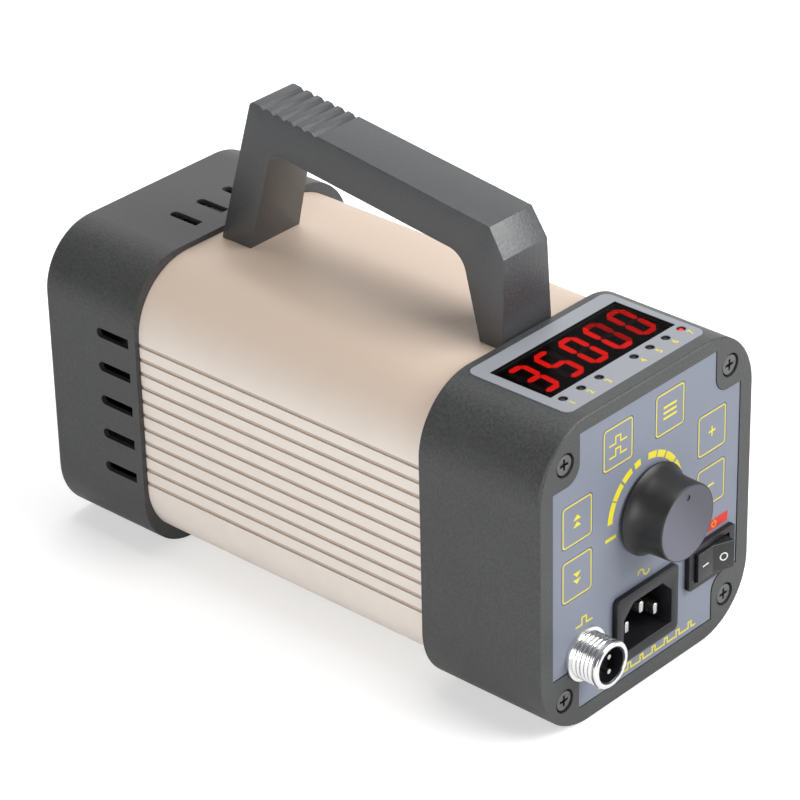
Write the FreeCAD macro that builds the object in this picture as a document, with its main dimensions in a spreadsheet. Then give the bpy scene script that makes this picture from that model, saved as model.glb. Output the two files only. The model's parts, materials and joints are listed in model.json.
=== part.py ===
import FreeCAD, Part
import math
import os
from types import SimpleNamespace

import Sketcher

# Digital xenon stroboscope with a carrying handle.
# X points right as seen from the control panel, Y towards the lamp, Z up.
# The origin lies on the rest plane, below the middle of the body tube.

doc = FreeCAD.newDocument("stroboscope")
Vector = FreeCAD.Vector

SIZES = {
    # Body tube, an extrusion that carries both caps
    "tube_length": 122.0,
    "tube_width": 96.0,
    "tube_height": 101.4,
    "tube_corner": 23.5,
    "tube_wall": 2.2,
    "tube_core_corner": 34.0,
    "control_overlap": 8.0,
    "lamp_overlap": 3.0,
    "cap_gap": 0.15,
    "groove_count": 11,
    "groove_pitch": 5.1,
    "groove_width": 1.5,
    "groove_depth": 0.7,
    "guide_rise": 18.9,
    "guide_rib": 1.6,
    "guide_reach": 11.5,
    "guide_root": 5.0,
    "guide_gap": 0.1,
    "port_radius": 1.8,
    # Control cap
    "control_wall": 2.85,
    "control_depth": 47.0,
    "control_corner": 23.0,
    "panel_wall": 3.0,
    "edge_round": 0.8,
    "post_radius": 5.6,
    # Lamp cap
    "lamp_side_wall": 1.85,
    "lamp_depth": 41.0,
    "lamp_corner": 21.0,
    "lamp_wall": 3.0,
    "lamp_edge_round": 1.5,
    "aperture_border": 11.5,
    "aperture_bevel": 1.5,
    "vent_width": 3.5,
    "side_vent_count": 5,
    "side_vent_pitch": 12.4,
    "side_vent_length": 14.4,
    "side_vent_start": 3.1,
    "side_vent_centre": 0.7,
    "top_vent_count": 3,
    "top_vent_pitch": 12.0,
    "top_vent_length": 12.5,
    "top_vent_start": 7.0,
    # Housing screws
    "screw_inset_x": 8.7,
    "screw_inset_z": 9.4,
    "screw_head_radius": 3.25,
    "screw_head_height": 2.2,
    "screw_shank_radius": 1.75,
    "screw_bite": 11.0,
    "screw_hole_radius": 2.1,
    "sink_radius": 4.0,
    "sink_depth": 2.6,
    "recess_length": 3.8,
    "recess_width": 0.9,
    "recess_depth": 1.2,
    # Handle
    "handle_foot_width": 22.6,
    "handle_top_width": 18.6,
    "rear_foot_gap": 0.5,
    "rear_foot_length": 9.5,
    "rear_elbow_lean": 0.7,
    "rear_elbow_rise": 30.0,
    "rear_top_lean": 6.5,
    "rear_top_rise": 39.3,
    "rear_inner_lean": 7.7,
    "rear_inner_rise": 27.0,
    "front_foot_gap": 2.6,
    "front_foot_length": 12.7,
    "front_top_lean": 13.4,
    "front_top_rise": 51.3,
    "front_inner_lean": 9.4,
    "front_inner_rise": 36.4,
    "rear_inner_round": 8.0,
    "front_inner_round": 5.0,
    "front_top_round": 2.0,
    "grip_count": 6,
    "grip_pitch": 4.4,
    "grip_start": 5.6,
    "grip_width": 2.4,
    "grip_depth": 1.0,
    "handle_screw_x": 6.0,
    "handle_screw_radius": 1.9,
    "handle_screw_head": 3.5,
    "handle_screw_head_height": 2.4,
    "handle_screw_bite": 11.0,
    "handle_pilot_gap": 0.05,
    # Panel overlay
    "overlay_side_border": 6.1,
    "overlay_top_border": 4.7,
    "overlay_bottom_border": 6.2,
    "overlay_thickness": 0.4,
    "overlay_sink": 0.3,
    "overlay_gap": 0.15,
    "lobe_width": 12.3,
    "lobe_height": 15.5,
    "lobe_round": 6.0,
    # Keys and their board
    "key_width": 14.0,
    "key_height": 14.6,
    "key_corner": 1.5,
    "key_gap": 0.2,
    "key_lip": 1.0,
    "key_flange": 1.0,
    "key_stem_radius": 1.75,
    "key_travel": 0.4,
    "key_free": 0.05,
    "tact_side": 6.0,
    "tact_height": 3.5,
    "signal_x": -14.5,
    "signal_drop": 11.8,
    "mode_x": 10.2,
    "mode_drop": 10.8,
    "right_key_inset": 13.7,
    "plus_z": 21.7,
    "minus_z": 2.5,
    "left_key_inset": 11.5,
    "double_z": 19.3,
    "half_z": 0.3,
    "board_thickness": 1.6,
    "key_board_stand": 7.0,
    "key_board_inset": 6.0,
    "key_board_gap": 0.5,
    "key_board_bottom": -10.5,
    "board_post_radius": 3.0,
    "board_screw_radius": 1.1,
    "board_screw_head": 2.1,
    "board_screw_head_height": 1.7,
    "board_screw_bite": 5.0,
    "board_screw_gap": 0.1,
    "upper_post_x": 27.0,
    "upper_post_drop": 5.2,
    "lower_post_x": 19.8,
    "lower_post_rise": 4.0,
    # Knob and potentiometer
    "knob_x": 1.5,
    "knob_z": 8.1,
    "knob_length": 13.6,
    "knob_lift": 0.6,
    "knob_skirt_radius": 15.2,
    "knob_skirt_height": 2.6,
    "knob_base_radius": 13.9,
    "knob_face_radius": 13.2,
    "knob_edge": 0.5,
    "knob_wall": 2.4,
    "knob_hub_radius": 5.2,
    "knob_inlay_radius": 12.3,
    "knob_inlay_depth": 0.7,
    "knob_inlay_gap": 0.05,
    "knob_dimple_radius": 1.0,
    "knob_dimple_place": 8.8,
    "shaft_radius": 3.0,
    "shaft_gap": 0.05,
    "shaft_seat": 1.5,
    "bushing_radius": 3.5,
    "bushing_length": 5.6,
    "bushing_gap": 0.1,
    "pot_radius": 8.5,
    "pot_length": 9.0,
    "pot_nut_height": 2.0,
    "pot_nut_corner": 5.6,
    # Mains inlet
    "inlet_x": -1.5,
    "inlet_rise": 19.0,
    "inlet_flange_width": 30.0,
    "inlet_flange_height": 24.0,
    "inlet_flange_thickness": 2.0,
    "inlet_flange_corner": 2.0,
    "inlet_body_width": 27.0,
    "inlet_body_height": 20.0,
    "inlet_body_length": 20.0,
    "inlet_cavity_width": 23.4,
    "inlet_cavity_height": 16.4,
    "inlet_cavity_chamfer": 4.6,
    "inlet_cavity_depth": 16.5,
    "inlet_pin_width": 2.0,
    "inlet_pin_height": 4.0,
    "inlet_pin_recess": 2.5,
    "inlet_pin_spread": 7.0,
    "inlet_pin_offset": 2.0,
    "inlet_tab_length": 8.0,
    "cutout_gap": 0.2,
    # Rocker switch
    "switch_inset": 14.4,
    "switch_rise": 24.5,
    "bezel_width": 23.0,
    "bezel_height": 15.0,
    "bezel_thickness": 1.8,
    "bezel_corner": 1.2,
    "switch_body_width": 19.2,
    "switch_body_height": 13.0,
    "switch_body_length": 15.0,
    "switch_pocket_width": 17.4,
    "switch_pocket_height": 10.6,
    "switch_pocket_depth": 8.0,
    "rocker_half_length": 7.6,
    "rocker_height": 10.0,
    "rocker_end_rise": 2.6,
    "rocker_middle_rise": 0.9,
    "rocker_root": 1.5,
    "rocker_pivot_depth": 3.0,
    "rocker_tilt": 10.0,
    "trunnion_radius": 1.3,
    "trunnion_length": 0.7,
    "trunnion_gap": 0.06,
    "terminal_spread": 5.5,
    "terminal_width": 0.8,
    "terminal_height": 4.8,
    "terminal_length": 7.0,
    # Trigger connector
    "trigger_inset": 14.9,
    "trigger_rise": 19.0,
    "trigger_radius": 7.75,
    "trigger_reach": 11.0,
    "trigger_flange_radius": 8.9,
    "trigger_flange_thickness": 1.4,
    "trigger_thread_count": 5,
    "trigger_thread_pitch": 1.5,
    "trigger_thread_depth": 0.55,
    "trigger_chamfer": 0.4,
    "trigger_lead": 1.6,
    "trigger_bore_radius": 6.2,
    "trigger_tail": 9.0,
    "trigger_gap": 0.15,
    "trigger_insert_depth": 5.0,
    "trigger_insert_length": 9.0,
    "trigger_pin_radius": 0.8,
    "trigger_pin_spread": 2.6,
    "trigger_pin_reach": 3.8,
    "trigger_tail_length": 3.0,
    "trigger_nut_corner": 10.0,
    "trigger_nut_height": 3.0,
    # Display
    "label_x": 0.75,
    "label_y": 24.7,
    "label_width": 65.5,
    "label_depth": 39.6,
    "label_corner": 3.0,
    "label_thickness": 0.3,
    "window_x": 1.35,
    "window_y": 26.75,
    "window_width": 58.7,
    "window_depth": 23.5,
    "window_thickness": 1.0,
    "window_gap": 0.1,
    "window_ledge": 0.5,
    "digit_count": 5,
    "digit_pitch": 11.5,
    "digit_width": 11.1,
    "digit_depth": 21.0,
    "digit_height": 9.55,
    "lamp_row_y": 12.0,
    "left_lamp_x": -26.0,
    "left_lamp_pitch": 8.4,
    "right_lamp_x": 7.2,
    "right_lamp_pitch": 7.6,
    "indicator_radius": 1.45,
    "indicator_gap": 0.1,
    "indicator_sink": 0.4,
    "display_board_left": -33.0,
    "display_board_right": 33.4,
    "display_board_front": 8.5,
    "display_board_rear": 37.5,
    "display_post_left": -30.3,
    "display_post_right": 31.6,
    "display_post_y": 15.4,
    "display_post_radius": 1.6,
    "header_length": 40.0,
    "header_depth": 2.5,
    "header_height": 2.5,
    # Lamp, reflector and window
    "lens_lap": 2.5,
    "lens_thickness": 2.5,
    "reflector_flange": 1.0,
    "bowl_lap": 0.1,
    "bowl_sheet": 0.9,
    "bowl_curve": 120.0,
    "neck_radius": 18.0,
    "neck_start": 11.0,
    "neck_end": 3.0,
    "retainer_thickness": 1.5,
    "retainer_lap": 0.9,
    "retainer_border": 2.6,
    "ear_reach": 5.1,
    "ear_radius": 3.4,
    "ear_boss_radius": 3.0,
    "lamp_base_flange": 19.5,
    "lamp_base_flange_height": 3.0,
    "lamp_base_height": 7.0,
    "lamp_base_gap": 0.1,
    "flash_tube_radius": 3.0,
    "flash_tube_spread": 10.0,
    "flash_tube_leg": 19.0,
    "flash_tube_seat": 5.0,
    "flash_tube_gap": 0.1,
    "lead_radius": 0.9,
    "lead_length": 6.0,
    "wire_radius": 0.4,
    "wire_stand": 0.05,
    # Main board and what it carries
    "main_board_inset": 7.5,
    "main_board_front": -56.0,
    "main_board_rear": 36.0,
    "core_width": 41.0,
    "core_depth": 20.0,
    "core_height": 36.0,
    "winding_width": 26.0,
    "winding_depth": 34.0,
    "winding_height": 25.0,
    "transformer_x": -15.7,
    "transformer_y": 14.0,
    "capacitor_radius": 8.0,
    "capacitor_length": 34.0,
    "capacitor_x": 13.6,
    "capacitor_pitch": 16.4,
    "capacitor_y": -2.0,
    "pulse_width": 14.0,
    "pulse_height": 18.0,
    "pulse_x": 4.0,
    "pulse_y": -24.0,
    "fuse_radius": 2.6,
    "fuse_length": 20.0,
    "fuse_x": -30.0,
    "fuse_y": -45.0,
    "fuse_lift": 3.4,
    "clip_length": 5.0,
    "clip_width": 7.6,
    "clip_height": 7.0,
    "clip_grip": 0.5,
    "clip_gap": 0.05,
    # Tripod bush
    "bush_flange_radius": 9.0,
    "bush_radius": 7.0,
    "bush_rise": 8.0,
    "bush_bore_radius": 2.6,
    "bush_bore_depth": 9.0,
    "bush_gap": 0.1,
    "bush_nut_corner": 11.2,
    "bush_nut_height": 4.0,
}

sheet = doc.addObject("Spreadsheet::Sheet", "sizes")
for row, (name, value) in enumerate(SIZES.items(), start=1):
    sheet.set("A%d" % row, name)
    sheet.set("B%d" % row, str(value))
    sheet.setAlias("B%d" % row, name)
doc.recompute()


class Size:
    """A length with its value and the expression that binds it to the sheet."""

    def __init__(self, text, value):
        self.text = text
        self.value = float(value)

    def __float__(self):
        return self.value

    def __add__(self, other):
        return join(self, "+", other, self.value + float(other))

    def __radd__(self, other):
        return join(other, "+", self, float(other) + self.value)

    def __sub__(self, other):
        return join(self, "-", other, self.value - float(other))

    def __rsub__(self, other):
        return join(other, "-", self, float(other) - self.value)

    def __mul__(self, other):
        return join(self, "*", other, self.value * float(other))

    def __rmul__(self, other):
        return join(other, "*", self, float(other) * self.value)

    def __truediv__(self, other):
        return join(self, "/", other, self.value / float(other))

    def __neg__(self):
        return join(-1, "*", self, -self.value)


def join(left, sign, right, value):
    """The Size of two terms joined by a sign."""
    terms = [term.text if isinstance(term, Size) else "(%s)" % term for term in (left, right)]
    return Size("(%s %s %s)" % (terms[0], sign, terms[1]), value)


def bind(feature, path, size):
    """Ties one property to the sheet, or sets it where it is a plain number."""
    text = size.text if isinstance(size, Size) else "%s" % size
    feature.setExpression(path, text)


s = SimpleNamespace(**{name: Size("sizes.%s" % name, sheet.get(name)) for name in SIZES})

# Planes and heights that several pieces share
seam_control = -s.tube_length / 2
seam_lamp = s.tube_length / 2
panel_face = seam_control - s.control_depth
panel_back = panel_face + s.panel_wall
lamp_face = seam_lamp + s.lamp_depth
lamp_inner = lamp_face - s.lamp_wall
tube_start = seam_control - s.control_overlap
tube_end = seam_lamp + s.lamp_overlap
half_tube = (s.tube_width / 2, s.tube_height / 2)
cavity = (half_tube[0] + s.cap_gap, half_tube[1] + s.cap_gap)
half_cap = (cavity[0] + s.control_wall, cavity[1] + s.control_wall)
axis = half_cap[1]
cap_top = axis + half_cap[1]
tube_top = axis + half_tube[1]
tube_bottom = axis - half_tube[1]
roof = tube_top + s.cap_gap
overlay_face = panel_face + s.overlay_sink
overlay_back = overlay_face + s.overlay_thickness
key_board_front = panel_back + s.key_board_stand
digit_top = cap_top - s.window_thickness - s.window_gap
display_board_top = digit_top - s.digit_height
display_board_bottom = display_board_top - s.board_thickness
CORNERS = ((-1, -1), (1, -1), (1, 1), (-1, 1))
screw_x = half_tube[0] - s.screw_inset_x
screw_z = half_tube[1] - s.screw_inset_z

# How far a cutting tool reaches past the faces that it opens, and how close counts as the same place
OVERCUT = 1.0
SKIM = 0.01
NEAR = 0.001

NODES = []


def node(feature, label):
    """Names a finished sub-part and keeps it for the export."""
    feature.Label = label
    NODES.append(feature)
    return feature


# Part primitives with every size bound to the sheet
TURNS = {
    "X": FreeCAD.Rotation(Vector(0, 1, 0), 90),
    "Y": FreeCAD.Rotation(Vector(1, 0, 0), -90),
    "Z": FreeCAD.Rotation(),
}


def place(feature, x, y, z, turn="Z"):
    """Puts a feature at a bound place, with its own Z axis turned onto the named axis."""
    feature.Placement = FreeCAD.Placement(Vector(float(x), float(y), float(z)), TURNS[turn])
    for letter, size in zip("xyz", (x, y, z)):
        bind(feature, "Placement.Base.%s" % letter, size)
    return feature


def block(name, across, along, upward):
    """A box given by its two limits along X, Y and Z."""
    feature = doc.addObject("Part::Box", name)
    for path, (low, high) in zip(("Length", "Width", "Height"), (across, along, upward)):
        bind(feature, path, high - low)
    return place(feature, across[0], along[0], upward[0])


def rod(name, turn, centre, start, end, radius, end_radius=None):
    """A cylinder, or a cone where an end radius is given, along one axis."""
    spot = {"X": (start, *centre), "Y": (centre[0], start, centre[1]), "Z": (*centre, start)}[turn]
    if end_radius is None:
        feature = doc.addObject("Part::Cylinder", name)
        bind(feature, "Radius", radius)
    else:
        feature = doc.addObject("Part::Cone", name)
        bind(feature, "Radius1", radius)
        bind(feature, "Radius2", end_radius)
    bind(feature, "Height", end - start)
    return place(feature, *spot, turn)


def hexagon(name, turn, centre, start, end, corner):
    """A six-sided bar along one axis."""
    spot = {"Y": (centre[0], start, centre[1]), "Z": (*centre, start)}[turn]
    feature = doc.addObject("Part::Prism", name)
    feature.Polygon = 6
    bind(feature, "Circumradius", corner)
    bind(feature, "Height", end - start)
    return place(feature, *spot, turn)


def fuse(name, *parts):
    """Parts joined to one solid."""
    feature = doc.addObject("Part::MultiFuse", name)
    feature.Shapes = list(parts)
    feature.Refine = True
    return feature


def cut(name, base, *tools):
    """A part with the tools taken out of it."""
    feature = doc.addObject("Part::Cut", name)
    feature.Base = base
    feature.Tool = tools[0] if len(tools) == 1 else fuse(name + "_tools", *tools)
    feature.Refine = True
    return feature


def group(name, parts):
    """Separate solids kept together in one sub-part."""
    feature = doc.addObject("Part::Compound", name)
    feature.Links = list(parts)
    return feature


# Sketches and PartDesign features
NORMAL = {"XY": 1, "YZ": 1, "XZ": -1}


def new_body(label, x=0, y=0, z=0):
    """A PartDesign body at a bound place."""
    body = doc.addObject("PartDesign::Body", label)
    place(body, x, y, z)
    return node(body, label)


def draw(body, plane, level=0):
    """A sketch on one of the body's planes, moved to a level along that plane's axis."""
    sketch = body.newObject("Sketcher::SketchObject", body.Name + "_sketch")
    role = plane + "_Plane"
    support = next(feature for feature in body.Origin.OriginFeatures if feature.Role == role)
    sketch.AttachmentSupport = (support, [""])
    sketch.MapMode = "FlatFace"
    bind(sketch, "AttachmentOffset.Base.z", NORMAL[plane] * level)
    sketch.Visibility = False
    return sketch


def fix(sketch, kind, *terms):
    """A sketch constraint whose last term is a bound size."""
    size = terms[-1]
    index = sketch.addConstraint(Sketcher.Constraint(kind, *terms[:-1], float(size)))
    if isinstance(size, Size):
        sketch.setExpression("Constraints[%d]" % index, size.text)


def pin(sketch, geometry, point, x, y):
    """Fixes a point of the sketch at bound distances from its origin."""
    fix(sketch, "DistanceX", -1, 1, geometry, point, x)
    fix(sketch, "DistanceY", -1, 1, geometry, point, y)


def circle(sketch, x, y, radius):
    """A circle at a bound place."""
    shape = Part.Circle(Vector(float(x), float(y), 0), Vector(0, 0, 1), float(radius))
    index = sketch.addGeometry(shape, False)
    fix(sketch, "Radius", index, radius)
    pin(sketch, index, 3, x, y)


def outline(sketch, vertices):
    """A closed outline. A third entry bends the side after its vertex anticlockwise to that radius,
    or clockwise where it is negative."""
    points = [Vector(float(vertex[0]), float(vertex[1]), 0) for vertex in vertices]
    ends = []
    for index, vertex in enumerate(vertices):
        start = points[index]
        end = points[(index + 1) % len(points)]
        if len(vertex) == 2:
            ends.append((sketch.addGeometry(Part.LineSegment(start, end), False), 1, 2))
            continue
        radius = abs(float(vertex[2]))
        side = math.copysign(1, float(vertex[2]))
        chord = end - start
        rise = math.sqrt(radius ** 2 - (chord.Length / 2) ** 2)
        left = Vector(-chord.y, chord.x, 0).normalize()
        centre = (start + end) / 2 + left * rise * side
        low, high = (start, end) if side > 0 else (end, start)
        angles = [math.atan2(point.y - centre.y, point.x - centre.x) for point in (low, high)]
        if angles[1] < angles[0]:
            angles[1] += 2 * math.pi
        arc = Part.ArcOfCircle(Part.Circle(centre, Vector(0, 0, 1), radius), *angles)
        order = (1, 2) if side > 0 else (2, 1)
        ends.append((sketch.addGeometry(arc, False), *order))
    for index, (geometry, start, _) in enumerate(ends):
        before, _, last = ends[index - 1]
        sketch.addConstraint(Sketcher.Constraint("Coincident", before, last, geometry, start))
        pin(sketch, geometry, start, vertices[index][0], vertices[index][1])
        if len(vertices[index]) == 3:
            bend = vertices[index][2]
            fix(sketch, "Radius", geometry, bend if float(bend) > 0 else -bend)


def rectangle(sketch, across, upward):
    """A plain rectangle between two pairs of limits."""
    outline(sketch, [
        (across[0], upward[0]),
        (across[1], upward[0]),
        (across[1], upward[1]),
        (across[0], upward[1]),
    ])


def rounded_rectangle(sketch, across, upward, corner):
    """A rectangle between two pairs of limits with tangent corner arcs."""
    left, right = (float(size) for size in across)
    bottom, top = (float(size) for size in upward)
    radius = float(corner)
    centres = ((right - radius, bottom + radius), (right - radius, top - radius),
               (left + radius, top - radius), (left + radius, bottom + radius))
    sides = (((left + radius, bottom), (right - radius, bottom)),
             ((right, bottom + radius), (right, top - radius)),
             ((right - radius, top), (left + radius, top)),
             ((left, top - radius), (left, bottom + radius)))
    lines = []
    arcs = []
    for turn in range(4):
        start, end = (Vector(*point, 0) for point in sides[turn])
        lines.append(sketch.addGeometry(Part.LineSegment(start, end), False))
        ring = Part.Circle(Vector(*centres[turn], 0), Vector(0, 0, 1), radius)
        begin = (turn - 1) * math.pi / 2
        arcs.append(sketch.addGeometry(Part.ArcOfCircle(ring, begin, begin + math.pi / 2), False))
    for turn in range(4):
        after = lines[(turn + 1) % 4]
        sketch.addConstraint(Sketcher.Constraint("Tangent", lines[turn], 2, arcs[turn], 1))
        sketch.addConstraint(Sketcher.Constraint("Tangent", arcs[turn], 2, after, 1))
        direction = "Vertical" if turn % 2 else "Horizontal"
        sketch.addConstraint(Sketcher.Constraint(direction, lines[turn]))
        if turn:
            sketch.addConstraint(Sketcher.Constraint("Equal", arcs[0], arcs[turn]))
    fix(sketch, "Radius", arcs[0], corner)
    fix(sketch, "DistanceY", -1, 1, lines[0], 1, upward[0])
    fix(sketch, "DistanceX", -1, 1, lines[1], 1, across[1])
    fix(sketch, "DistanceY", -1, 1, lines[2], 1, upward[1])
    fix(sketch, "DistanceX", -1, 1, lines[3], 1, across[0])


def slot(sketch, start, end, middle, width, along="H"):
    """A slot with a square start and a round end, along the sketch's first or second axis."""
    half = width / 2
    square = float(start)
    round_end = float(end) - float(half)
    corners = [(square, -1), (round_end, -1), (round_end, 1), (square, 1)]
    points = [Vector(u, float(middle) + v * float(half), 0) for u, v in corners]
    centre = Vector(round_end, float(middle), 0)
    if along == "V":
        points = [Vector(point.y, point.x, 0) for point in points]
        centre = Vector(centre.y, centre.x, 0)
    first = sketch.addGeometry(Part.LineSegment(points[0], points[1]), False)
    begin = -math.pi / 2 if along == "H" else 0
    ring = Part.Circle(centre, Vector(0, 0, 1), float(half))
    bend = sketch.addGeometry(Part.ArcOfCircle(ring, begin, begin + math.pi), False)
    second = sketch.addGeometry(Part.LineSegment(points[2], points[3]), False)
    closing = sketch.addGeometry(Part.LineSegment(points[3], points[0]), False)
    near, far = (1, 2) if along == "H" else (2, 1)
    sketch.addConstraint(Sketcher.Constraint("Tangent", first, 2, bend, near))
    sketch.addConstraint(Sketcher.Constraint("Tangent", bend, far, second, 1))
    sketch.addConstraint(Sketcher.Constraint("Coincident", second, 2, closing, 1))
    sketch.addConstraint(Sketcher.Constraint("Coincident", closing, 2, first, 1))
    run, step = ("Horizontal", "Vertical") if along == "H" else ("Vertical", "Horizontal")
    sketch.addConstraint(Sketcher.Constraint(run, first))
    sketch.addConstraint(Sketcher.Constraint(run, second))
    sketch.addConstraint(Sketcher.Constraint(step, closing))
    length_way, width_way = ("DistanceX", "DistanceY") if along == "H" else ("DistanceY", "DistanceX")
    fix(sketch, length_way, -1, 1, first, 1, start)
    fix(sketch, length_way, -1, 1, first, 2, end - half)
    fix(sketch, width_way, -1, 1, first, 1, middle - half)
    fix(sketch, width_way, -1, 1, second, 1, middle + half)


def pad(body, sketch, length, towards=1):
    """Adds the sketch's area to the body, towards the positive or negative axis."""
    feature = body.newObject("PartDesign::Pad", body.Name + "_pad")
    feature.Profile = sketch
    bind(feature, "Length", length)
    feature.Reversed = NORMAL[role_of(sketch)] != towards
    return feature


def pocket(body, sketch, length=None, towards=1):
    """Takes the sketch's area out of the body, right through both ways where no length is given."""
    feature = body.newObject("PartDesign::Pocket", body.Name + "_pocket")
    feature.Profile = sketch
    if length is None:
        feature.Type = "ThroughAll"
        feature.Midplane = True
        return feature
    bind(feature, "Length", length)
    feature.Reversed = NORMAL[role_of(sketch)] == towards
    return feature


def role_of(sketch):
    """The two letters of the plane that a sketch lies on."""
    return sketch.AttachmentSupport[0][0].Role[:2]


def repeat(body, feature, sketch, way, length, count):
    """A row of one feature along the sketch's first or second axis."""
    row = body.newObject("PartDesign::LinearPattern", body.Name + "_row")
    row.Originals = [feature]
    row.Direction = (sketch, [way + "_Axis"])
    bind(row, "Length", length)
    bind(row, "Occurrences", count)
    body.Tip = row
    return row


def soften(body, kind, size, chosen):
    """Rounds or bevels the chosen edges of the body's last feature."""
    doc.recompute()
    base = body.Tip
    edges = ["Edge%d" % number for number, edge in enumerate(base.Shape.Edges, start=1) if chosen(edge)]
    feature = body.newObject("PartDesign::" + kind, body.Name + "_" + kind.lower())
    feature.Base = (base, edges)
    bind(feature, "Radius" if kind == "Fillet" else "Size", size)
    return feature


def flat_at(axis_name, level):
    """A test for edges that lie wholly at one level of an axis."""
    low, high = axis_name + "Min", axis_name + "Max"

    def chosen(edge):
        box = edge.BoundBox
        return max(abs(getattr(box, low) - float(level)), abs(getattr(box, high) - float(level))) < NEAR

    return chosen


def line_at(first, second):
    """A test for straight edges that stand at one spot of the two axes they don't run along."""
    (name_a, level_a), (name_b, level_b) = first, second

    def chosen(edge):
        return flat_at(name_a, level_a)(edge) and flat_at(name_b, level_b)(edge)

    return chosen


def turned(label, x, y, z, way, profile):
    """A turned piece. The profile gives radius and height along the named axis."""
    body = doc.addObject("PartDesign::Body", label)
    place(body, x, y, z, way)
    sketch = draw(body, "XZ")
    outline(sketch, profile)
    feature = body.newObject("PartDesign::Revolution", label + "_turn")
    feature.Profile = sketch
    feature.ReferenceAxis = (sketch, ["V_Axis"])
    feature.Angle = 360
    return node(body, label)


# Body tube: an extrusion with screw ports in its thick corners and board guides in its sides
tube = new_body("body_tube", z=axis)
core = (half_tube[0] - s.tube_wall, half_tube[1] - s.tube_wall)
tube_reach = tube_end - tube_start
sketch = draw(tube, "XZ", tube_start)
rounded_rectangle(sketch, (-half_tube[0], half_tube[0]), (-half_tube[1], half_tube[1]), s.tube_corner)
pad(tube, sketch, tube_reach)
sketch = draw(tube, "XZ", tube_start)
rounded_rectangle(sketch, (-core[0], core[0]), (-core[1], core[1]), s.tube_core_corner)
pocket(tube, sketch, tube_reach)

board_bottom = s.guide_rise - half_tube[1]
board_top = board_bottom + s.board_thickness
sketch = draw(tube, "XZ", tube_start)
for side in (-1, 1):
    reach = half_tube[0] - s.guide_reach
    root = half_tube[0] - s.guide_root
    limits = (reach, root) if side > 0 else (-root, -reach)
    lower = board_bottom - s.guide_gap
    upper = board_top + s.guide_gap
    rectangle(sketch, limits, (lower - s.guide_rib, lower))
    rectangle(sketch, limits, (upper, upper + s.guide_rib))
pad(tube, sketch, tube_reach)

sketch = draw(tube, "XZ", tube_start)
for across, upward in CORNERS:
    circle(sketch, across * screw_x, upward * screw_z, s.port_radius)
pocket(tube, sketch, tube_reach)

groove_span = (s.groove_count - 1) * s.groove_pitch
groove_low = -groove_span / 2 - s.groove_width / 2
sketch = draw(tube, "XZ", tube_start)
for limits in ((half_tube[0] - s.groove_depth, half_tube[0] + OVERCUT),
               (-half_tube[0] - OVERCUT, s.groove_depth - half_tube[0])):
    rectangle(sketch, limits, (groove_low, groove_low + s.groove_width))
groove = pocket(tube, sketch, tube_reach)
repeat(tube, groove, sketch, "V", groove_span, s.groove_count)

rear_screw_y = seam_control + s.rear_foot_gap + s.rear_foot_length / 2
front_screw_y = seam_lamp - s.front_foot_gap - s.front_foot_length / 2
handle_screw_spots = [(side * s.handle_screw_x, y) for y in (rear_screw_y, front_screw_y) for side in (-1, 1)]
sketch = draw(tube, "XY", half_tube[1])
for x, y in handle_screw_spots:
    circle(sketch, x, y, s.handle_screw_radius + s.handle_pilot_gap)
pocket(tube, sketch, s.tube_wall + OVERCUT, towards=-1)
sketch = draw(tube, "XY", -half_tube[1])
circle(sketch, 0, 0, s.bush_radius + s.bush_gap)
pocket(tube, sketch, s.tube_wall + OVERCUT)


# Places on the panel, measured from the housing's long axis
overlay_side = half_cap[0] - s.overlay_side_border
overlay_top = half_cap[1] - s.overlay_top_border
overlay_bottom = half_cap[1] - s.overlay_bottom_border
KEYS = {
    "key_signal": (s.signal_x, overlay_top - s.signal_drop),
    "key_mode": (s.mode_x, overlay_top - s.mode_drop),
    "key_plus": (overlay_side - s.right_key_inset, s.plus_z),
    "key_minus": (overlay_side - s.right_key_inset, s.minus_z),
    "key_double": (s.left_key_inset - overlay_side, s.double_z),
    "key_half": (s.left_key_inset - overlay_side, s.half_z),
}
inlet_z = s.inlet_rise - overlay_bottom
switch_x = overlay_side - s.switch_inset
switch_z = s.switch_rise - overlay_bottom
trigger_x = s.trigger_inset - overlay_side
trigger_z = s.trigger_rise - overlay_bottom
key_board_top = display_board_bottom - s.key_board_gap - axis
upper_post_z = key_board_top - s.upper_post_drop
lower_post_z = s.key_board_bottom + s.lower_post_rise
BOARD_POSTS = [(side * x, z) for x, z in ((s.upper_post_x, upper_post_z), (s.lower_post_x, lower_post_z))
               for side in (-1, 1)]
DISPLAY_POSTS = [(x, panel_face + s.display_post_y) for x in (s.display_post_left, s.display_post_right)]
INDICATORS = [s.left_lamp_x + number * s.left_lamp_pitch for number in range(3)]
INDICATORS += [s.right_lamp_x + number * s.right_lamp_pitch for number in range(4)]
indicator_y = panel_face + s.lamp_row_y


def around(centre, width, gap=0):
    """The two limits of a width laid evenly about a centre."""
    return (centre - width / 2 - gap, centre + width / 2 + gap)


def panel_plan(sketch, gap):
    """The overlay's outline, stepped back round the four corner screws."""
    side = overlay_side - gap
    top = overlay_top - gap
    bottom = overlay_bottom - gap
    inner = side - s.lobe_width
    outline(sketch, [
        (-inner, -bottom),
        (inner, -bottom),
        (inner, s.lobe_height - bottom),
        (side, s.lobe_height - bottom),
        (side, top - s.lobe_height),
        (inner, top - s.lobe_height),
        (inner, top),
        (-inner, top),
        (-inner, top - s.lobe_height),
        (-side, top - s.lobe_height),
        (-side, s.lobe_height - bottom),
        (-inner, s.lobe_height - bottom),
    ])


def lobe_edges(gap):
    """A test for the four inner corner edges of the overlay's outline."""
    inner = overlay_side - gap - s.lobe_width
    levels = (s.lobe_height - overlay_bottom + gap, overlay_top - gap - s.lobe_height)
    tests = [line_at(("X", side * inner), ("Z", level)) for side in (-1, 1) for level in levels]
    return lambda edge: any(test(edge) for test in tests)


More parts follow.
